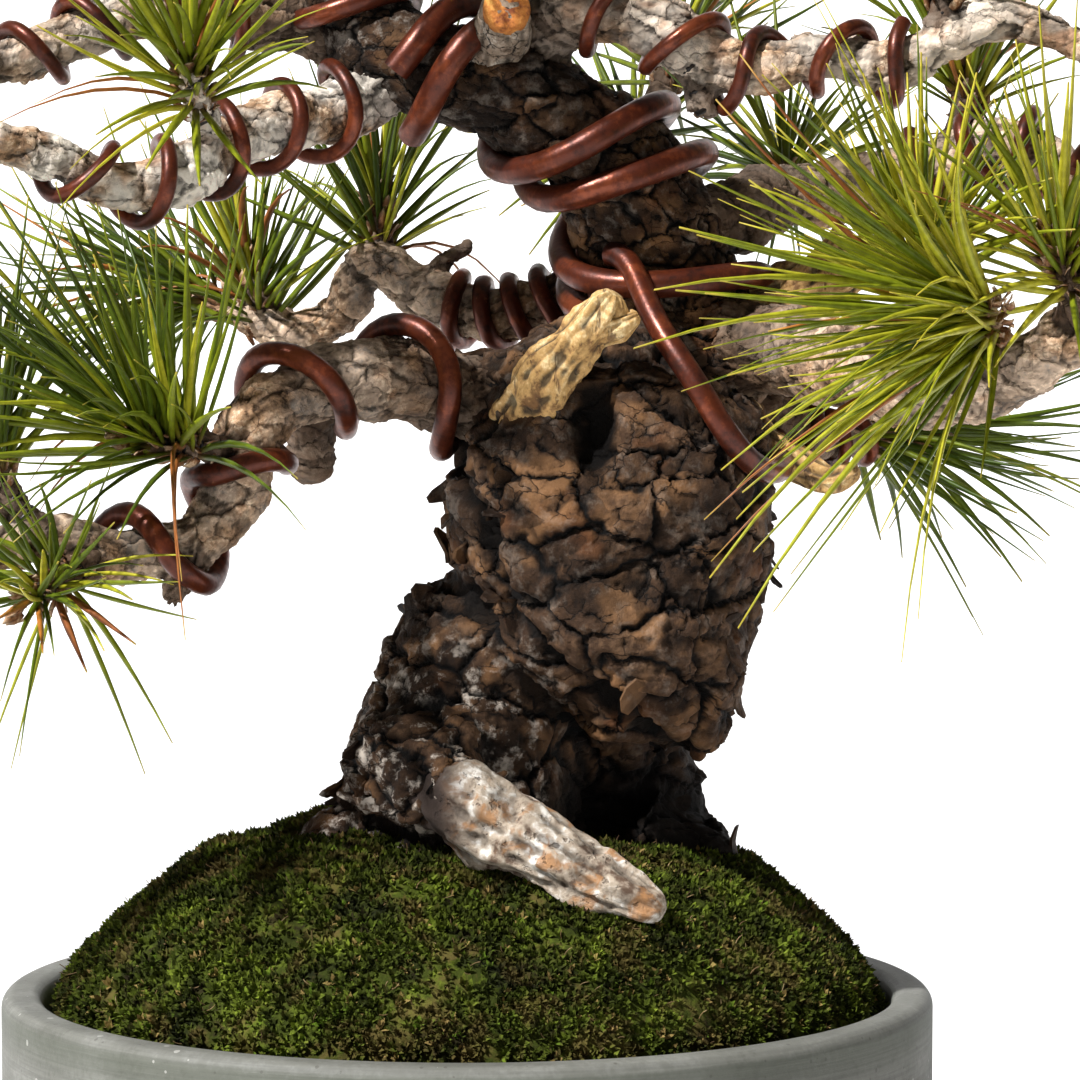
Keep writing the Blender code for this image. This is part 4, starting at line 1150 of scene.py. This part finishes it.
def makeTuftTree():
    # needle pairs and bud scales on points that carry their direction and size
    tree, given, out = newGeometryTree("tuft", tuftPieces)
    named = {label: storedValue(tree, label) for label in ("span", "roll", "sag", "kind", "along", "girth")}
    way, side = storedValue(tree, "way", "FLOAT_VECTOR"), storedValue(tree, "side", "FLOAT_VECTOR")
    aimed = addNode(tree, "FunctionNodeAlignRotationToVector", {"Vector": way}, axis="Z").outputs[0]
    turned = turnBy(tree, aimed, (0, 0, 1), named["roll"])
    joined = addNode(tree, "GeometryNodeJoinGeometry")
    for label, skin, isScale in (("Needle", "Needle Skin", False), ("Scale", "Scale Skin", True)):
        shape = addNode(tree, "GeometryNodeObjectInfo", {"Object": given.outputs[label]}).outputs["Geometry"]
        size = {"X": named["girth"], "Y": named["girth"], "Z": named["span"]}
        size = addNode(tree, "ShaderNodeCombineXYZ", size).outputs[0]
        picked = addNode(tree, "FunctionNodeCompare", {0: named["kind"], 1: 0.5}, data_type="FLOAT",
                         operation="GREATER_THAN" if isScale else "LESS_THAN").outputs[0]
        placed = addNode(tree, "GeometryNodeInstanceOnPoints",
                         {"Points": given.outputs["Geometry"], "Selection": picked, "Instance": shape,
                          "Rotation": turned, "Scale": size}).outputs[0]
        real = addNode(tree, "GeometryNodeRealizeInstances", {"Geometry": placed}).outputs[0]
        if not isScale:
            curve = times(tree, maths(tree, "POWER", named["along"], 2.0),
                          times(tree, named["sag"], named["span"]))
            real = moveBy(tree, real, vectorMaths(tree, "SCALE", side, curve))
        faced = addNode(tree, "GeometryNodeSetMaterial", {"Geometry": real, "Material": given.outputs[skin]})
        tree.links.new(faced.outputs[0], joined.inputs[0])
    tree.links.new(joined.outputs[0], out.inputs["Geometry"])
    return tree


tuftTree = makeTuftTree()
tufts = {  # the shoot, the way the needles fan, size and how light the green is
    "tuft_apex": ("leader", "leader", (0, 0, 1), 1.0, 0.45),
    "tuft_apex_left": ("leader", "apexLeft", (-0.7, 0.1, 0.6), 0.9, 0.4),
    "tuft_apex_right": ("leader", "apexRight", (0.7, -0.2, 0.6), 0.9, 0.5),
    "tuft_apex_back": ("leader", "apexBack", (0, 0.8, 0.6), 0.9, 0.4),
    "tuft_apex_front": ("leader", "apexFront", (0, -0.8, 0.6), 0.9, 0.5),
    "tuft_lower_left_up": ("lowerLeft", "twigUp", (0.1, -0.15, 1.5), 1.35, 0.42),
    "tuft_lower_left_low": ("lowerLeft", "twigLow", (0.7, -0.3, 1.1), 0.8, 0.6),
    "tuft_lower_left_edge": ("lowerLeft", "twigEdge", (-0.2, 0, 1), 1.1, 0.35),
    "tuft_lower_left_end": ("lowerLeft", "limb", (-0.9, -0.1, 0.4), 1.0, 0.4),
    "tuft_top_left_up": ("topLeft", "twigUp", (0, -0.5, 0.8), 1.0, 0.7),
    "tuft_top_left_end": ("topLeft", "twigEnd", (-0.9, -0.1, 0.3), 0.9, 0.55),
    "tuft_corner_left_up": ("cornerLeft", "twigUp", (0, 0, 1), 1.0, 0.5),
    "tuft_corner_left_end": ("cornerLeft", "limb", (-0.8, 0, 0.5), 0.9, 0.5),
    "tuft_middle_back_up": ("middleBack", "twigUp", (0.1, 0.2, 1), 1.0, 0.45),
    "tuft_middle_back_left": ("middleBack", "twigLeft", (0.1, 0.2, 0.9), 1.0, 0.4),
    "tuft_middle_back_end": ("middleBack", "limb", (-0.8, 0.4, 0.3), 1.0, 0.35),
    "tuft_right_front": ("right", "twigFront", (-2.1, -0.3, -0.2), 1.55, 0.72),
    "tuft_right_up": ("right", "twigUp", (0.1, -0.3, 0.9), 1.0, 0.7),
    "tuft_right_inner": ("right", "twigInner", (-0.2, -0.3, 1), 1.0, 0.7),
    "tuft_right_end": ("right", "limb", (0.9, -0.2, 0.3), 0.9, 0.6),
    "tuft_lower_right": ("lowerRight", "limb", (0.8, 0.1, -0.15), 1.0, 0.3),
    "tuft_far_right_up": ("farRight", "twigUp", (0.1, 0.2, 1), 1.0, 0.6),
    "tuft_far_right_back": ("farRight", "twigBack", (0.1, 0.5, 0.9), 1.0, 0.5),
    "tuft_far_right_end": ("farRight", "limb", (0.9, 0, 0.4), 0.9, 0.6),
    "tuft_top_right_up": ("topRight", "twigUp", (0, 0, 1), 0.9, 0.55),
    "tuft_top_right_end": ("topRight", "limb", (0.9, -0.1, 0.3), 0.9, 0.5),
    "tuft_back_up": ("back", "twigUp", (0.2, 0.4, 0.9), 1.0, 0.5),
    "tuft_back_end": ("back", "limb", (-0.1, 1, 0.2), 1.0, 0.4),
}
tuftLook = {"pairs": 34, "length": 52, "shoot": 14, "spread": 1.05, "lean": 0.9, "sag": 0.26, "scales": 46}
outerLow = cadBox[0] - Vector((1, 1, 1)) * 8 * mm
outerHigh = cadBox[1] + Vector((1, 1, 1)) * 8 * mm
goldenAngle = 2.39996


def growTuft(name, group, key, fan, share, bright, seed):
    rng = random.Random(seed)
    look = tuftLook
    pairs = round(look["pairs"] * share ** 1.4)
    path = walkRoute(routeOf(group, key), 1 * mm)
    (end, radius), (before, _) = path[-1], path[-5]
    along = (end - before).normalized()
    fan = Vector(fan)
    spots, rows = [], {label: [] for label in ("way", "side", "span", "roll", "sag", "kind", "tint", "girth")}

    def add(spot, **values):
        spots.append(spot)
        for label, value in values.items():
            rows[label].append(value)

    first = along.orthogonal().normalized()
    for k in range(pairs):
        level = k / pairs
        turn = Quaternion(along, k * goldenAngle)
        out = turn @ first
        splay = look["spread"] * (1.25 - 0.95 * level) + rng.gauss(0, 0.16)
        way = (along * math.cos(splay) + out * math.sin(splay) + fan * look["lean"] * 0.55).normalized()
        tip = radius + 1.0 * mm
        spot = end + along * (look["shoot"] * (level - 0.75) * mm) + out * tip * (1 - level) * 0.8
        span = look["length"] * share * rng.uniform(0.62, 1.12) * mm * (0.8 + 0.2 * level)
        for low, high, at, step in zip(outerLow, outerHigh, spot, way * span):
            if step and not low < at + step < high:
                span *= max(0.3, ((high if step > 0 else low) - at) / step)
        dead = rng.random() < 0.05
        tint = rng.uniform(0.93, 1.0) if dead else min(0.88, max(0.02, bright + rng.gauss(0, 0.2)))
        side = (way.cross(out.cross(way)) * rng.uniform(-0.5, 1) + Vector((0, 0, -0.6))).normalized()
        sag = look["sag"] * rng.uniform(-0.6, 1.5) * (2.2 if dead else 1)
        add(spot, way=way, side=side, span=span, roll=rng.uniform(0, 6.28), sag=sag, kind=0.0, tint=tint,
            girth=rng.uniform(0.85, 1.1))
    for k in range(look["scales"]):
        level = k / (look["scales"] - 1)
        out = Quaternion(along, k * goldenAngle) @ first
        bud = max(0.0, level - 0.68) / 0.32
        ringRadius = (radius + 0.7 * mm) * (1 - bud ** 1.5)
        spot = end + along * ((level * 24 - 15) * mm) + out * ringRadius * 0.9
        way = (along * (1 + bud) + out * (0.55 * (1 - bud)) + Vector((rng.gauss(0, 0.1),) * 3)).normalized()
        add(spot, way=way, side=up, span=rng.uniform(0.8, 1.3), roll=rng.uniform(0, 6.28), sag=0.0, kind=1.0,
            tint=rng.random(), girth=rng.uniform(0.8, 1.4))
    bm = bmesh.new()
    for spot in spots:
        bm.verts.new(spot)
    mesh = plainMesh(name, bm)
    for label, values in rows.items():
        if label in ("way", "side"):
            putValues(mesh, label, [tuple(value) for value in values], "FLOAT_VECTOR")
        else:
            putValues(mesh, label, values)
    piece = newPiece(joinedName("needles", name.split("_")[1:]), mesh)
    runGeometryTree(piece, tuftTree, tuftPieces)
    return asPart(piece, "needles", name)


for number, (name, (group, key, fan, share, bright)) in enumerate(tufts.items()):
    growTuft(name, group, key, fan, share, bright, 100 + number)
for helper in (needlePair, scaleLeaf):
    bpy.data.objects.remove(helper)
print("needles done")


# bark flakes that stand off the trunk, thickest along its sides

def makeFlake():
    rng = random.Random(5)
    bm = bmesh.new()
    corners = []
    for k in range(9):
        angle = 2 * math.pi * k / 9
        reach = rng.uniform(0.55, 1.0)
        corners.append((math.cos(angle) * reach * 0.62, math.sin(angle) * reach))
    rings = []
    for height in (0.0, 0.16):
        rings.append([bm.verts.new((x, y, height + 0.35 * (y + 0.4) ** 2)) for x, y in corners])
    middle = [bm.verts.new((0, 0, height + 0.06)) for height in (0.0, 0.2)]
    for k in range(9):
        n = (k + 1) % 9
        bm.faces.new((rings[0][n], rings[0][k], middle[0]))
        bm.faces.new((rings[1][k], rings[1][n], middle[1]))
        bm.faces.new((rings[0][k], rings[0][n], rings[1][n], rings[1][k]))
    bmesh.ops.recalc_face_normals(bm, faces=bm.faces[:])
    bmesh.ops.scale(bm, vec=(mm, mm, mm), verts=bm.verts)
    return helperPiece("flake", bm)


def randomFloat(tree, low, high, seed):
    values = {2: low, 3: high, "Seed": seed}
    return addNode(tree, "FunctionNodeRandomValue", values, data_type="FLOAT").outputs[1]


def makeScatterTree():
    # copies of a small shape over a surface, turned at random about the normal and leaned over
    sockets = {"Shape": flake, "Density": 0.0, "Smallest": 0.0, "Largest": 0.0, "Lean": 0.0, "Sink": 0.0,
               "Seed": 1, "Skin": oldBark}
    tree, given, out = newGeometryTree("scatter", sockets)
    value = given.outputs
    spread = addNode(tree, "GeometryNodeDistributePointsOnFaces",
                     {"Mesh": value["Geometry"], "Seed": value["Seed"],
                      "Density": times(tree, storedValue(tree, "thickness"), value["Density"])})
    shape = addNode(tree, "GeometryNodeObjectInfo", {"Object": value["Shape"]}).outputs["Geometry"]
    turned = turnBy(tree, spread.outputs["Rotation"], (0, 0, 1), randomFloat(tree, 0.0, 6.283, 3))
    turned = turnBy(tree, turned, (1, 0, 0), randomFloat(tree, 0.0, value["Lean"], 4))
    size = randomFloat(tree, value["Smallest"], value["Largest"], 5)
    sunk = vectorMaths(tree, "SCALE", spread.outputs["Normal"], times(tree, value["Sink"], -1))
    points = moveBy(tree, spread.outputs["Points"], sunk)
    points = addNode(tree, "GeometryNodeStoreNamedAttribute",
                     {"Geometry": points, "Name": "tint", "Value": randomFloat(tree, 0.0, 1.0, 6)},
                     data_type="FLOAT", domain="POINT").outputs[0]
    placed = addNode(tree, "GeometryNodeInstanceOnPoints",
                     {"Points": points, "Instance": shape, "Rotation": turned, "Scale": size}).outputs[0]
    tree.links.new(realPlain(tree, placed, value["Skin"]), out.inputs["Geometry"])
    return tree


flake = makeFlake()
scatterTree = makeScatterTree()


def scatterOver(name, ground, weights, shape, skin, values):
    mesh = ground.data.copy()
    putValues(mesh, "thickness", weights)
    piece = newPiece(name, mesh)
    runGeometryTree(piece, scatterTree, {"Shape": shape, "Skin": skin, **values})
    return piece


flakeLook = {"Density": 24000.0, "Smallest": 2.2, "Largest": 4.8, "Lean": 0.4, "Sink": 0.0004, "Seed": 4}
local, normals = localRows(trunk.data), meshRows(trunk.data, "normal")
sideways = between(np.abs(normals[:, 0]), 0.7, 0.98)
patch = np.array([noise.noise(Vector(spot) / 16) for spot in local])
weights = (0.02 + sideways * 0.9) * between(patch, -0.1, 0.3) * (local[:, 2] > 22) * (local[:, 2] < 118)
flakes = scatterOver("trunkFlakes", trunk, weights, flake, oldBark, flakeLook)
asPart(flakes, "bark", "trunk")
flakes.data.shade_flat()
# painted shade: every flake darkened at 0.4 toward the crack colour
darkness = np.full(len(flakes.data.vertices), 0.4, np.float32)
flakes.data.attributes["deep"].data.foreach_set("value", darkness)
print("flakes", len(flakes.data.polygons))


# moss

def makeMossSkin():
    made, tree = newMaterial("mossSkin", 0.9, 0.0, 0.15)
    where = objectPlace(tree)
    tones = patches(tree, (0.013, 0.016, 0.003), (0.046, 0.06, 0.006), (0.13, 0.17, 0.016), 0.012, 0.0022)
    tint = attribute(tree, "tint")
    lift = remap(tree, tint, 0, 1, 0.45, 1.9, smooth=False)
    colour = shaded(tree, tones.outputs["Color"], lift)
    straw = remap(tree, noiseAt(tree, where, 0.013, 4, 0.7, 0.4), 0.5, 0.64, 0, 0.75)
    colour = mixColour(tree, straw, colour, (0.12, 0.085, 0.026))
    aside = vectorMaths(tree, "ADD", where, (3, 3, 3))
    bare = remap(tree, noiseAt(tree, aside, 0.008, 4, 0.7), 0.57, 0.66)
    colour = mixColour(tree, times(tree, bare, 0.8), colour, (0.02, 0.012, 0.006))
    aside = vectorMaths(tree, "ADD", where, (7, 7, 7))
    fresh = remap(tree, noiseAt(tree, aside, 0.0055, 4, 0.7), 0.57, 0.66)
    fresh = times(tree, fresh, remap(tree, tint, 0.3, 0.8))
    colour = mixColour(tree, times(tree, fresh, 0.85), colour, (0.11, 0.19, 0.012))
    gold = maths(tree, "GREATER_THAN", tint, 0.965)
    colour = mixColour(tree, times(tree, gold, 0.8), colour, (0.3, 0.2, 0.07))
    return finishSkin(made, colour, noiseAt(tree, where, 0.0009, 5, 0.7), 0.0006, 0.9)


mossSkin = makeMossSkin()
mossLook = {"clearance": 1.5, "wall": 9, "rise": 37, "power": 3.2, "depth": 5, "rings": 120, "turns": 340}
potRadius = (potHigh.x - potLow.x) / 2
mossRadius = potRadius - (mossLook["wall"] + mossLook["clearance"]) * mm


def mossTop(x, y):
    swell = 0.9 * math.sin(x * 90 + 1) * math.sin(y * 75 + 2) + 0.6 * math.sin(x * 190 + y * 140)
    swell += 3.0 * noise.noise(Vector((x, y, 0.01)) / 0.03) + 1.6 * noise.noise(Vector((x, y, 0.02)) / 0.013)
    share = min(1.0, math.hypot(x, y) / mossRadius)
    swell *= 1 - share ** 6
    return lipCentre.z - 2 * mm + mossLook["rise"] * mm * (1 - share ** mossLook["power"]) + swell * mm


def makeMoss():
    rings, turns = mossLook["rings"], mossLook["turns"]
    bm = bmesh.new()
    rows = []
    for i in range(1, rings + 1):
        share = i / rings
        row = []
        for k in range(turns):
            angle = 2 * math.pi * k / turns
            edge = Vector((math.cos(angle), math.sin(angle), 0))
            ragged = 1 - 0.02 * share ** 8 * (1.2 + 1.6 * noise.noise(edge * 11) + 1.2 * noise.noise(edge * 31))
            x, y = (edge * mossRadius * share * ragged).xy
            spot = Vector((x, y, 0))
            clump = 1.5 * noise.noise(spot / 0.016) + 1.1 * abs(noise.noise(spot / 0.0065))
            clump += 0.5 * noise.noise(spot / 0.0026)
            drop = 2.2 * between(np.array([share]), 0.955, 1.0)[0]
            row.append(bm.verts.new((x, y, mossTop(x, y) + (clump - drop) * mm)))
        rows.append(row)
    top = bm.verts.new((0, 0, mossTop(0, 0)))
    under = [bm.verts.new((v.co.x, v.co.y, v.co.z - mossLook["depth"] * mm)) for v in rows[-1]]
    base = bm.verts.new((0, 0, mossTop(0, 0) - mossLook["depth"] * mm))
    for k in range(turns):
        n = (k + 1) % turns
        bm.faces.new((top, rows[0][k], rows[0][n]))
        for low, high in zip(rows, rows[1:]):
            bm.faces.new((low[k], high[k], high[n], low[n]))
        bm.faces.new((rows[-1][k], under[k], under[n], rows[-1][n]))
        bm.faces.new((under[k], base, under[n]))
    return newPiece("mossCushion", bm, mossSkin)


moss = makeMoss()
mossSpots = meshRows(moss.data, "co").astype(float)
putValues(moss.data, "tint", np.full(len(mossSpots), 0.25))
asPart(moss, "moss", "moss")


def makeSprig():
    bm = bmesh.new()
    for k in range(4):
        angle = k * 1.7
        out = Vector((math.cos(angle), math.sin(angle), 0))
        across = Vector((-out.y, out.x, 0))
        reach = (0.25, 0.5, 0.85, 0.6)[k]
        rise = (1.0, 0.8, 0.6, 0.95)[k]
        low = [bm.verts.new(out * 0.05 + across * side * 0.14) for side in (-1, 1)]
        high = [bm.verts.new(out * reach * 0.5 + across * side * 0.22 + up * rise * 0.6) for side in (-1, 1)]
        tip = bm.verts.new(out * reach + up * rise)
        bm.faces.new((low[0], low[1], high[1], high[0]))
        bm.faces.new((high[0], high[1], tip))
    bmesh.ops.scale(bm, vec=(mm, mm, mm), verts=bm.verts)
    return helperPiece("sprig", bm)


def makeStraw():
    bm = bmesh.new()
    rings = []
    for step in range(4):
        t = step / 3
        middle = Vector((0.25 * math.sin(t * 3), 0, t * 2))
        corners = [Vector((math.cos(angle), math.sin(angle), 0)) * 0.09 for angle in (0, 2.1, 4.2)]
        rings.append([bm.verts.new(middle + corner) for corner in corners])
    bridge(bm, rings, False)
    bmesh.ops.scale(bm, vec=(mm, mm, mm), verts=bm.verts)
    return helperPiece("straw", bm)


strawSkin = makeToned("straw", 0.7, ((0.08, 0.035, 0.012), (0.2, 0.12, 0.045), (0.42, 0.3, 0.15)),
                      (0.005, 0.001), (0.0005, 3), 0.0002, 0.5)
sprig, straw = makeSprig(), makeStraw()
facing = between(meshRows(moss.data, "normal")[:, 2].astype(float), 0.05, 0.4)
clusters = np.array([0.5 + 1.1 * noise.noise(Vector(spot) / 0.009) for spot in mossSpots])
sprigLook = {"Density": 920000.0, "Lean": 0.7, "Sink": 0.0002}
strawLook = {"Density": 26000.0, "Smallest": 0.5, "Largest": 1.3, "Lean": 1.5, "Sink": -0.0006, "Seed": 13}
for name, seed, size in (("mossSprigs", 11, 2.1), ("mossTufts", 12, 1.5)):
    sprigs = scatterOver(name, moss, facing * np.clip(clusters, 0.25, 1.3), sprig, mossSkin,
                         {**sprigLook, "Smallest": size * 0.6, "Largest": size * 1.3, "Seed": seed})
    asPart(sprigs, "moss", "moss")
    print(name, len(sprigs.data.polygons))
bits = scatterOver("mossStraws", moss, facing * np.clip(1.0 - clusters, 0, 1), straw, strawSkin,
                   strawLook)
asPart(bits, "moss", "moss")
for helper in (flake, sprig, straw):
    bpy.data.objects.remove(helper)
print("moss done")


# pot

def makeStoneware():
    made, tree = newMaterial("stoneware", 0.62, 0.0, 0.35)
    where = objectPlace(tree)
    tones = patches(tree, (0.12, 0.12, 0.103), (0.155, 0.155, 0.136), (0.195, 0.195, 0.175), 0.02, 0.0016)
    lines = noiseAt(tree, vectorMaths(tree, "MULTIPLY", where, (0.02, 0.02, 1.0)), 0.0008, 3, 0.6)
    shade = remap(tree, lines, 0.3, 0.7, 0.86, 1.12)
    colour = shaded(tree, tones.outputs["Color"], shade)
    height = addNode(tree, "ShaderNodeSeparateXYZ", {"Vector": where}).outputs["Z"]
    lip = lipCentre.z
    # painted shade: a darker greenish band just under the rounded lip, for the shade of its edge
    paintedLipShade = times(tree, remap(tree, height, lip - 12 * mm, lip - 3.5 * mm, 0, 1),
                 remap(tree, height, lip - 3 * mm, lip - 1 * mm, 1, 0))
    colour = mixColour(tree, times(tree, paintedLipShade, 0.5), colour, (0.075, 0.085, 0.06))
    dark = specks(tree, 0.0016, 0.16)
    colour = mixColour(tree, times(tree, dark, 0.55), colour, (0.07, 0.065, 0.055))
    pale = specks(tree, 0.0024, 0.08)
    colour = mixColour(tree, times(tree, pale, 0.5), colour, (0.5, 0.49, 0.45))
    grain = noiseAt(tree, where, 0.0007, 4, 0.7)
    return finishSkin(made, colour, plus(tree, lines, times(tree, grain, 0.7)), 0.00018, 0.8)


stoneware = makeStoneware()
potLook = {"radius": 100, "height": 75, "wall": 9, "floor": 9, "lip": 3, "foot": 4, "sides": 200, "hole": 7,
           "circle": 46, "start": 91.3, "channel": 10, "channelDepth": 3, "channelBack": 13.6}


def corner(middle, radius, start, end, count=8):
    # points of an arc, for a rounded edge of the outline
    turns = [math.radians(start + (end - start) * k / count) for k in range(count + 1)]
    return [(middle[0] + radius * math.cos(a), middle[1] + radius * math.sin(a)) for a in turns]


def makePot():
    look = potLook
    inner = look["radius"] - look["wall"]
    outline = [(0, 0), (40, 0), (80, 0)]
    outline += corner((look["radius"] - look["foot"], look["foot"]), look["foot"], -90, 0)
    outline += [(look["radius"], z) for z in range(12, 68, 8)]
    outline += corner((look["radius"] - look["lip"], look["height"] - look["lip"]), look["lip"], 0, 90)
    outline += corner((inner + look["lip"], look["height"] - look["lip"]), look["lip"], 90, 180)
    outline += [(inner, z) for z in range(64, 16, -8)]
    outline += corner((inner - look["foot"], look["floor"] + look["foot"]), look["foot"], 0, -90)
    outline += [(60, look["floor"]), (0, look["floor"])]
    bm = bmesh.new()
    base = lipCentre - Vector((0, 0, look["height"] * mm))
    rows = []
    for r, z in outline:
        if r == 0:
            rows.append([bm.verts.new(base + Vector((0, 0, z * mm)))])
            continue
        row = []
        for k in range(look["sides"]):
            angle = 2 * math.pi * k / look["sides"]
            out = Vector((math.cos(angle), math.sin(angle), 0))
            wobble = 0.12 * noise.noise(out * 1.6 + up * z * 0.03) if 4 < z < 70 and r > 95 else 0
            row.append(bm.verts.new(base + out * (r + wobble) * mm + up * z * mm))
        rows.append(row)
    for low, high in zip(rows, rows[1:]):
        for k in range(look["sides"]):
            n = (k + 1) % look["sides"]
            if len(low) == 1:
                bm.faces.new((low[0], high[n], high[k]))
            elif len(high) == 1:
                bm.faces.new((low[k], low[n], high[0]))
            else:
                bm.faces.new((low[k], low[n], high[n], high[k]))
    pot = newPiece("potBody", bm, stoneware)
    cutters = []
    for k in range(3):
        turn = math.radians(look["start"] + 120 * k)
        middle = base + Vector((math.cos(turn), math.sin(turn), 0)) * look["circle"] * mm
        hole = bmesh.new()
        bmesh.ops.create_cone(hole, cap_ends=True, segments=48, radius1=look["hole"] * mm,
                              radius2=look["hole"] * mm, depth=30 * mm)
        bmesh.ops.translate(hole, vec=middle, verts=hole.verts)
        channel = bmesh.new()
        bmesh.ops.create_cube(channel, size=1)
        long = look["channelBack"] + 2 * look["radius"]
        for vert in channel.verts:
            x, y, z = vert.co
            x = (x * long + look["radius"] - look["channelBack"] / 2) * mm
            flat = Vector((x, y * look["channel"] * mm, z * 2 * look["channelDepth"] * mm))
            vert.co = middle + Quaternion(up, turn) @ flat
        cutters += [newPiece("cutHole", hole), newPiece("cutChannel", channel)]
    for cutter in cutters:
        cut = pot.modifiers.new("cut", "BOOLEAN")
        cut.operation = "DIFFERENCE"
        cut.solver = "EXACT"
        cut.object = cutter
    settle(pot)
    for cutter in cutters:
        bpy.data.objects.remove(cutter)
    asPart(pot, "stoneware", "pot")
    pot.data.set_sharp_from_angle(angle=math.radians(35))


makePot()
print("pot done")


# finishes of the pieces inside the pot

def makeGrains(name, dark, middle, light, size):
    made, tree = newMaterial(name, 0.9, 0.0, 0.2)
    where = objectPlace(tree)
    tones = patches(tree, dark, middle, light, size * 2, size * 0.3)
    stones = {"Vector": where, "Scale": 1 / size}
    edge = addNode(tree, "ShaderNodeTexVoronoi", stones, feature="DISTANCE_TO_EDGE").outputs["Distance"]
    gaps = remap(tree, edge, 0.0, 0.12)
    colour = mixColour(tree, gaps, tuple(c * 0.25 for c in dark), tones.outputs["Color"])
    return finishSkin(made, colour, gaps, size * 0.3, 0.8)


def makePlain(name, colour, roughness, metallic):
    tones = (tuple(c * 0.7 for c in colour), colour, tuple(min(1, c * 1.4) for c in colour))
    return makeToned(name, roughness, tones, (0.006, 0.0008), (0.0006, 4, 0.6), 0.0001, 0.6, metallic)


inner = {
    "soil": makeGrains("soilGrains", (0.03, 0.018, 0.01), (0.09, 0.055, 0.03), (0.2, 0.14, 0.09), 0.003),
    "drainage_grit": makeGrains("gritStones", (0.16, 0.13, 0.1), (0.36, 0.31, 0.25), (0.6, 0.55, 0.47), 0.005),
}
plastic = makePlain("screenPlastic", (0.035, 0.035, 0.035), 0.55, 0.0)
steel = makePlain("clipWire", (0.5, 0.5, 0.48), 0.38, 1.0)
for number in (1, 2, 3):
    inner[f"drain_screen_{number}"] = plastic
    inner[f"screen_clip_{number}"] = steel
for name, surface in inner.items():
    node = bpy.data.objects[name]
    node.data.materials.clear()
    node.data.materials.append(surface)


# floor, light and camera

def makeStage():
    values = {"depth": 3.0, "front": -2.5, "half": 4.0, "bend": 0.8, "rise": 3.0}
    bm = bmesh.new()
    profile = [(values["front"], 0.0), (values["depth"], 0.0)]
    for k in range(1, 13):
        angle = math.pi / 2 * k / 12
        profile.append((values["depth"] + values["bend"] * math.sin(angle),
                        values["bend"] * (1 - math.cos(angle))))
    profile.append((values["depth"] + values["bend"], values["rise"]))
    rows = [[bm.verts.new((side * values["half"], y, z)) for side in (-1, 1)] for y, z in profile]
    for low, high in zip(rows, rows[1:]):
        bm.faces.new((low[0], low[1], high[1], high[0]))
    made, tree = newMaterial("paleFloor", 0.9, 0.0, 0.1)
    tree.nodes["Principled BSDF"].inputs["Base Color"].default_value = (0.9, 0.9, 0.9, 1)
    floor = newPiece("floor", bm, made)
    floor.data.shade_smooth()


def makeLight():
    values = {"strength": 6.2, "softness": 2.5, "from": (-0.62, -0.42, 0.82), "fill": 0.14, "backdrop": 1.0}
    sun = bpy.data.lights.new("key", "SUN")
    sun.energy = values["strength"]
    sun.angle = math.radians(values["softness"])
    keyLight = bpy.data.objects.new("key", sun)
    keyLight.rotation_mode = "QUATERNION"
    keyLight.rotation_quaternion = Vector(values["from"]).to_track_quat("Z", "Y")
    scene.collection.objects.link(keyLight)
    world = bpy.data.worlds.new("studio")
    world.use_nodes = True
    tree = world.node_tree
    sky = tree.nodes["Background"]
    sky.inputs["Color"].default_value = (1, 1, 1, 1)
    seen = addNode(tree, "ShaderNodeLightPath").outputs["Is Camera Ray"]
    strength = remap(tree, seen, 0, 1, values["fill"], values["backdrop"], smooth=False)
    tree.links.new(strength, sky.inputs["Strength"])
    scene.world = world


def makeCamera():
    values = {"distance": 1.2, "height": 0.197, "side": 0.0156, "pitch": 4.79, "focal": 187.6}
    lens = bpy.data.cameras.new("view")
    lens.lens = values["focal"]
    lens.sensor_width = 36
    lens.clip_start = 0.05
    camera = bpy.data.objects.new("view", lens)
    camera.location = lipCentre + Vector((values["side"], -values["distance"], values["height"]))
    camera.rotation_euler = (math.radians(90 - values["pitch"]), 0, 0)
    scene.collection.objects.link(camera)
    scene.camera = camera


makeStage()
makeLight()
makeCamera()
print("floor, light and camera done")
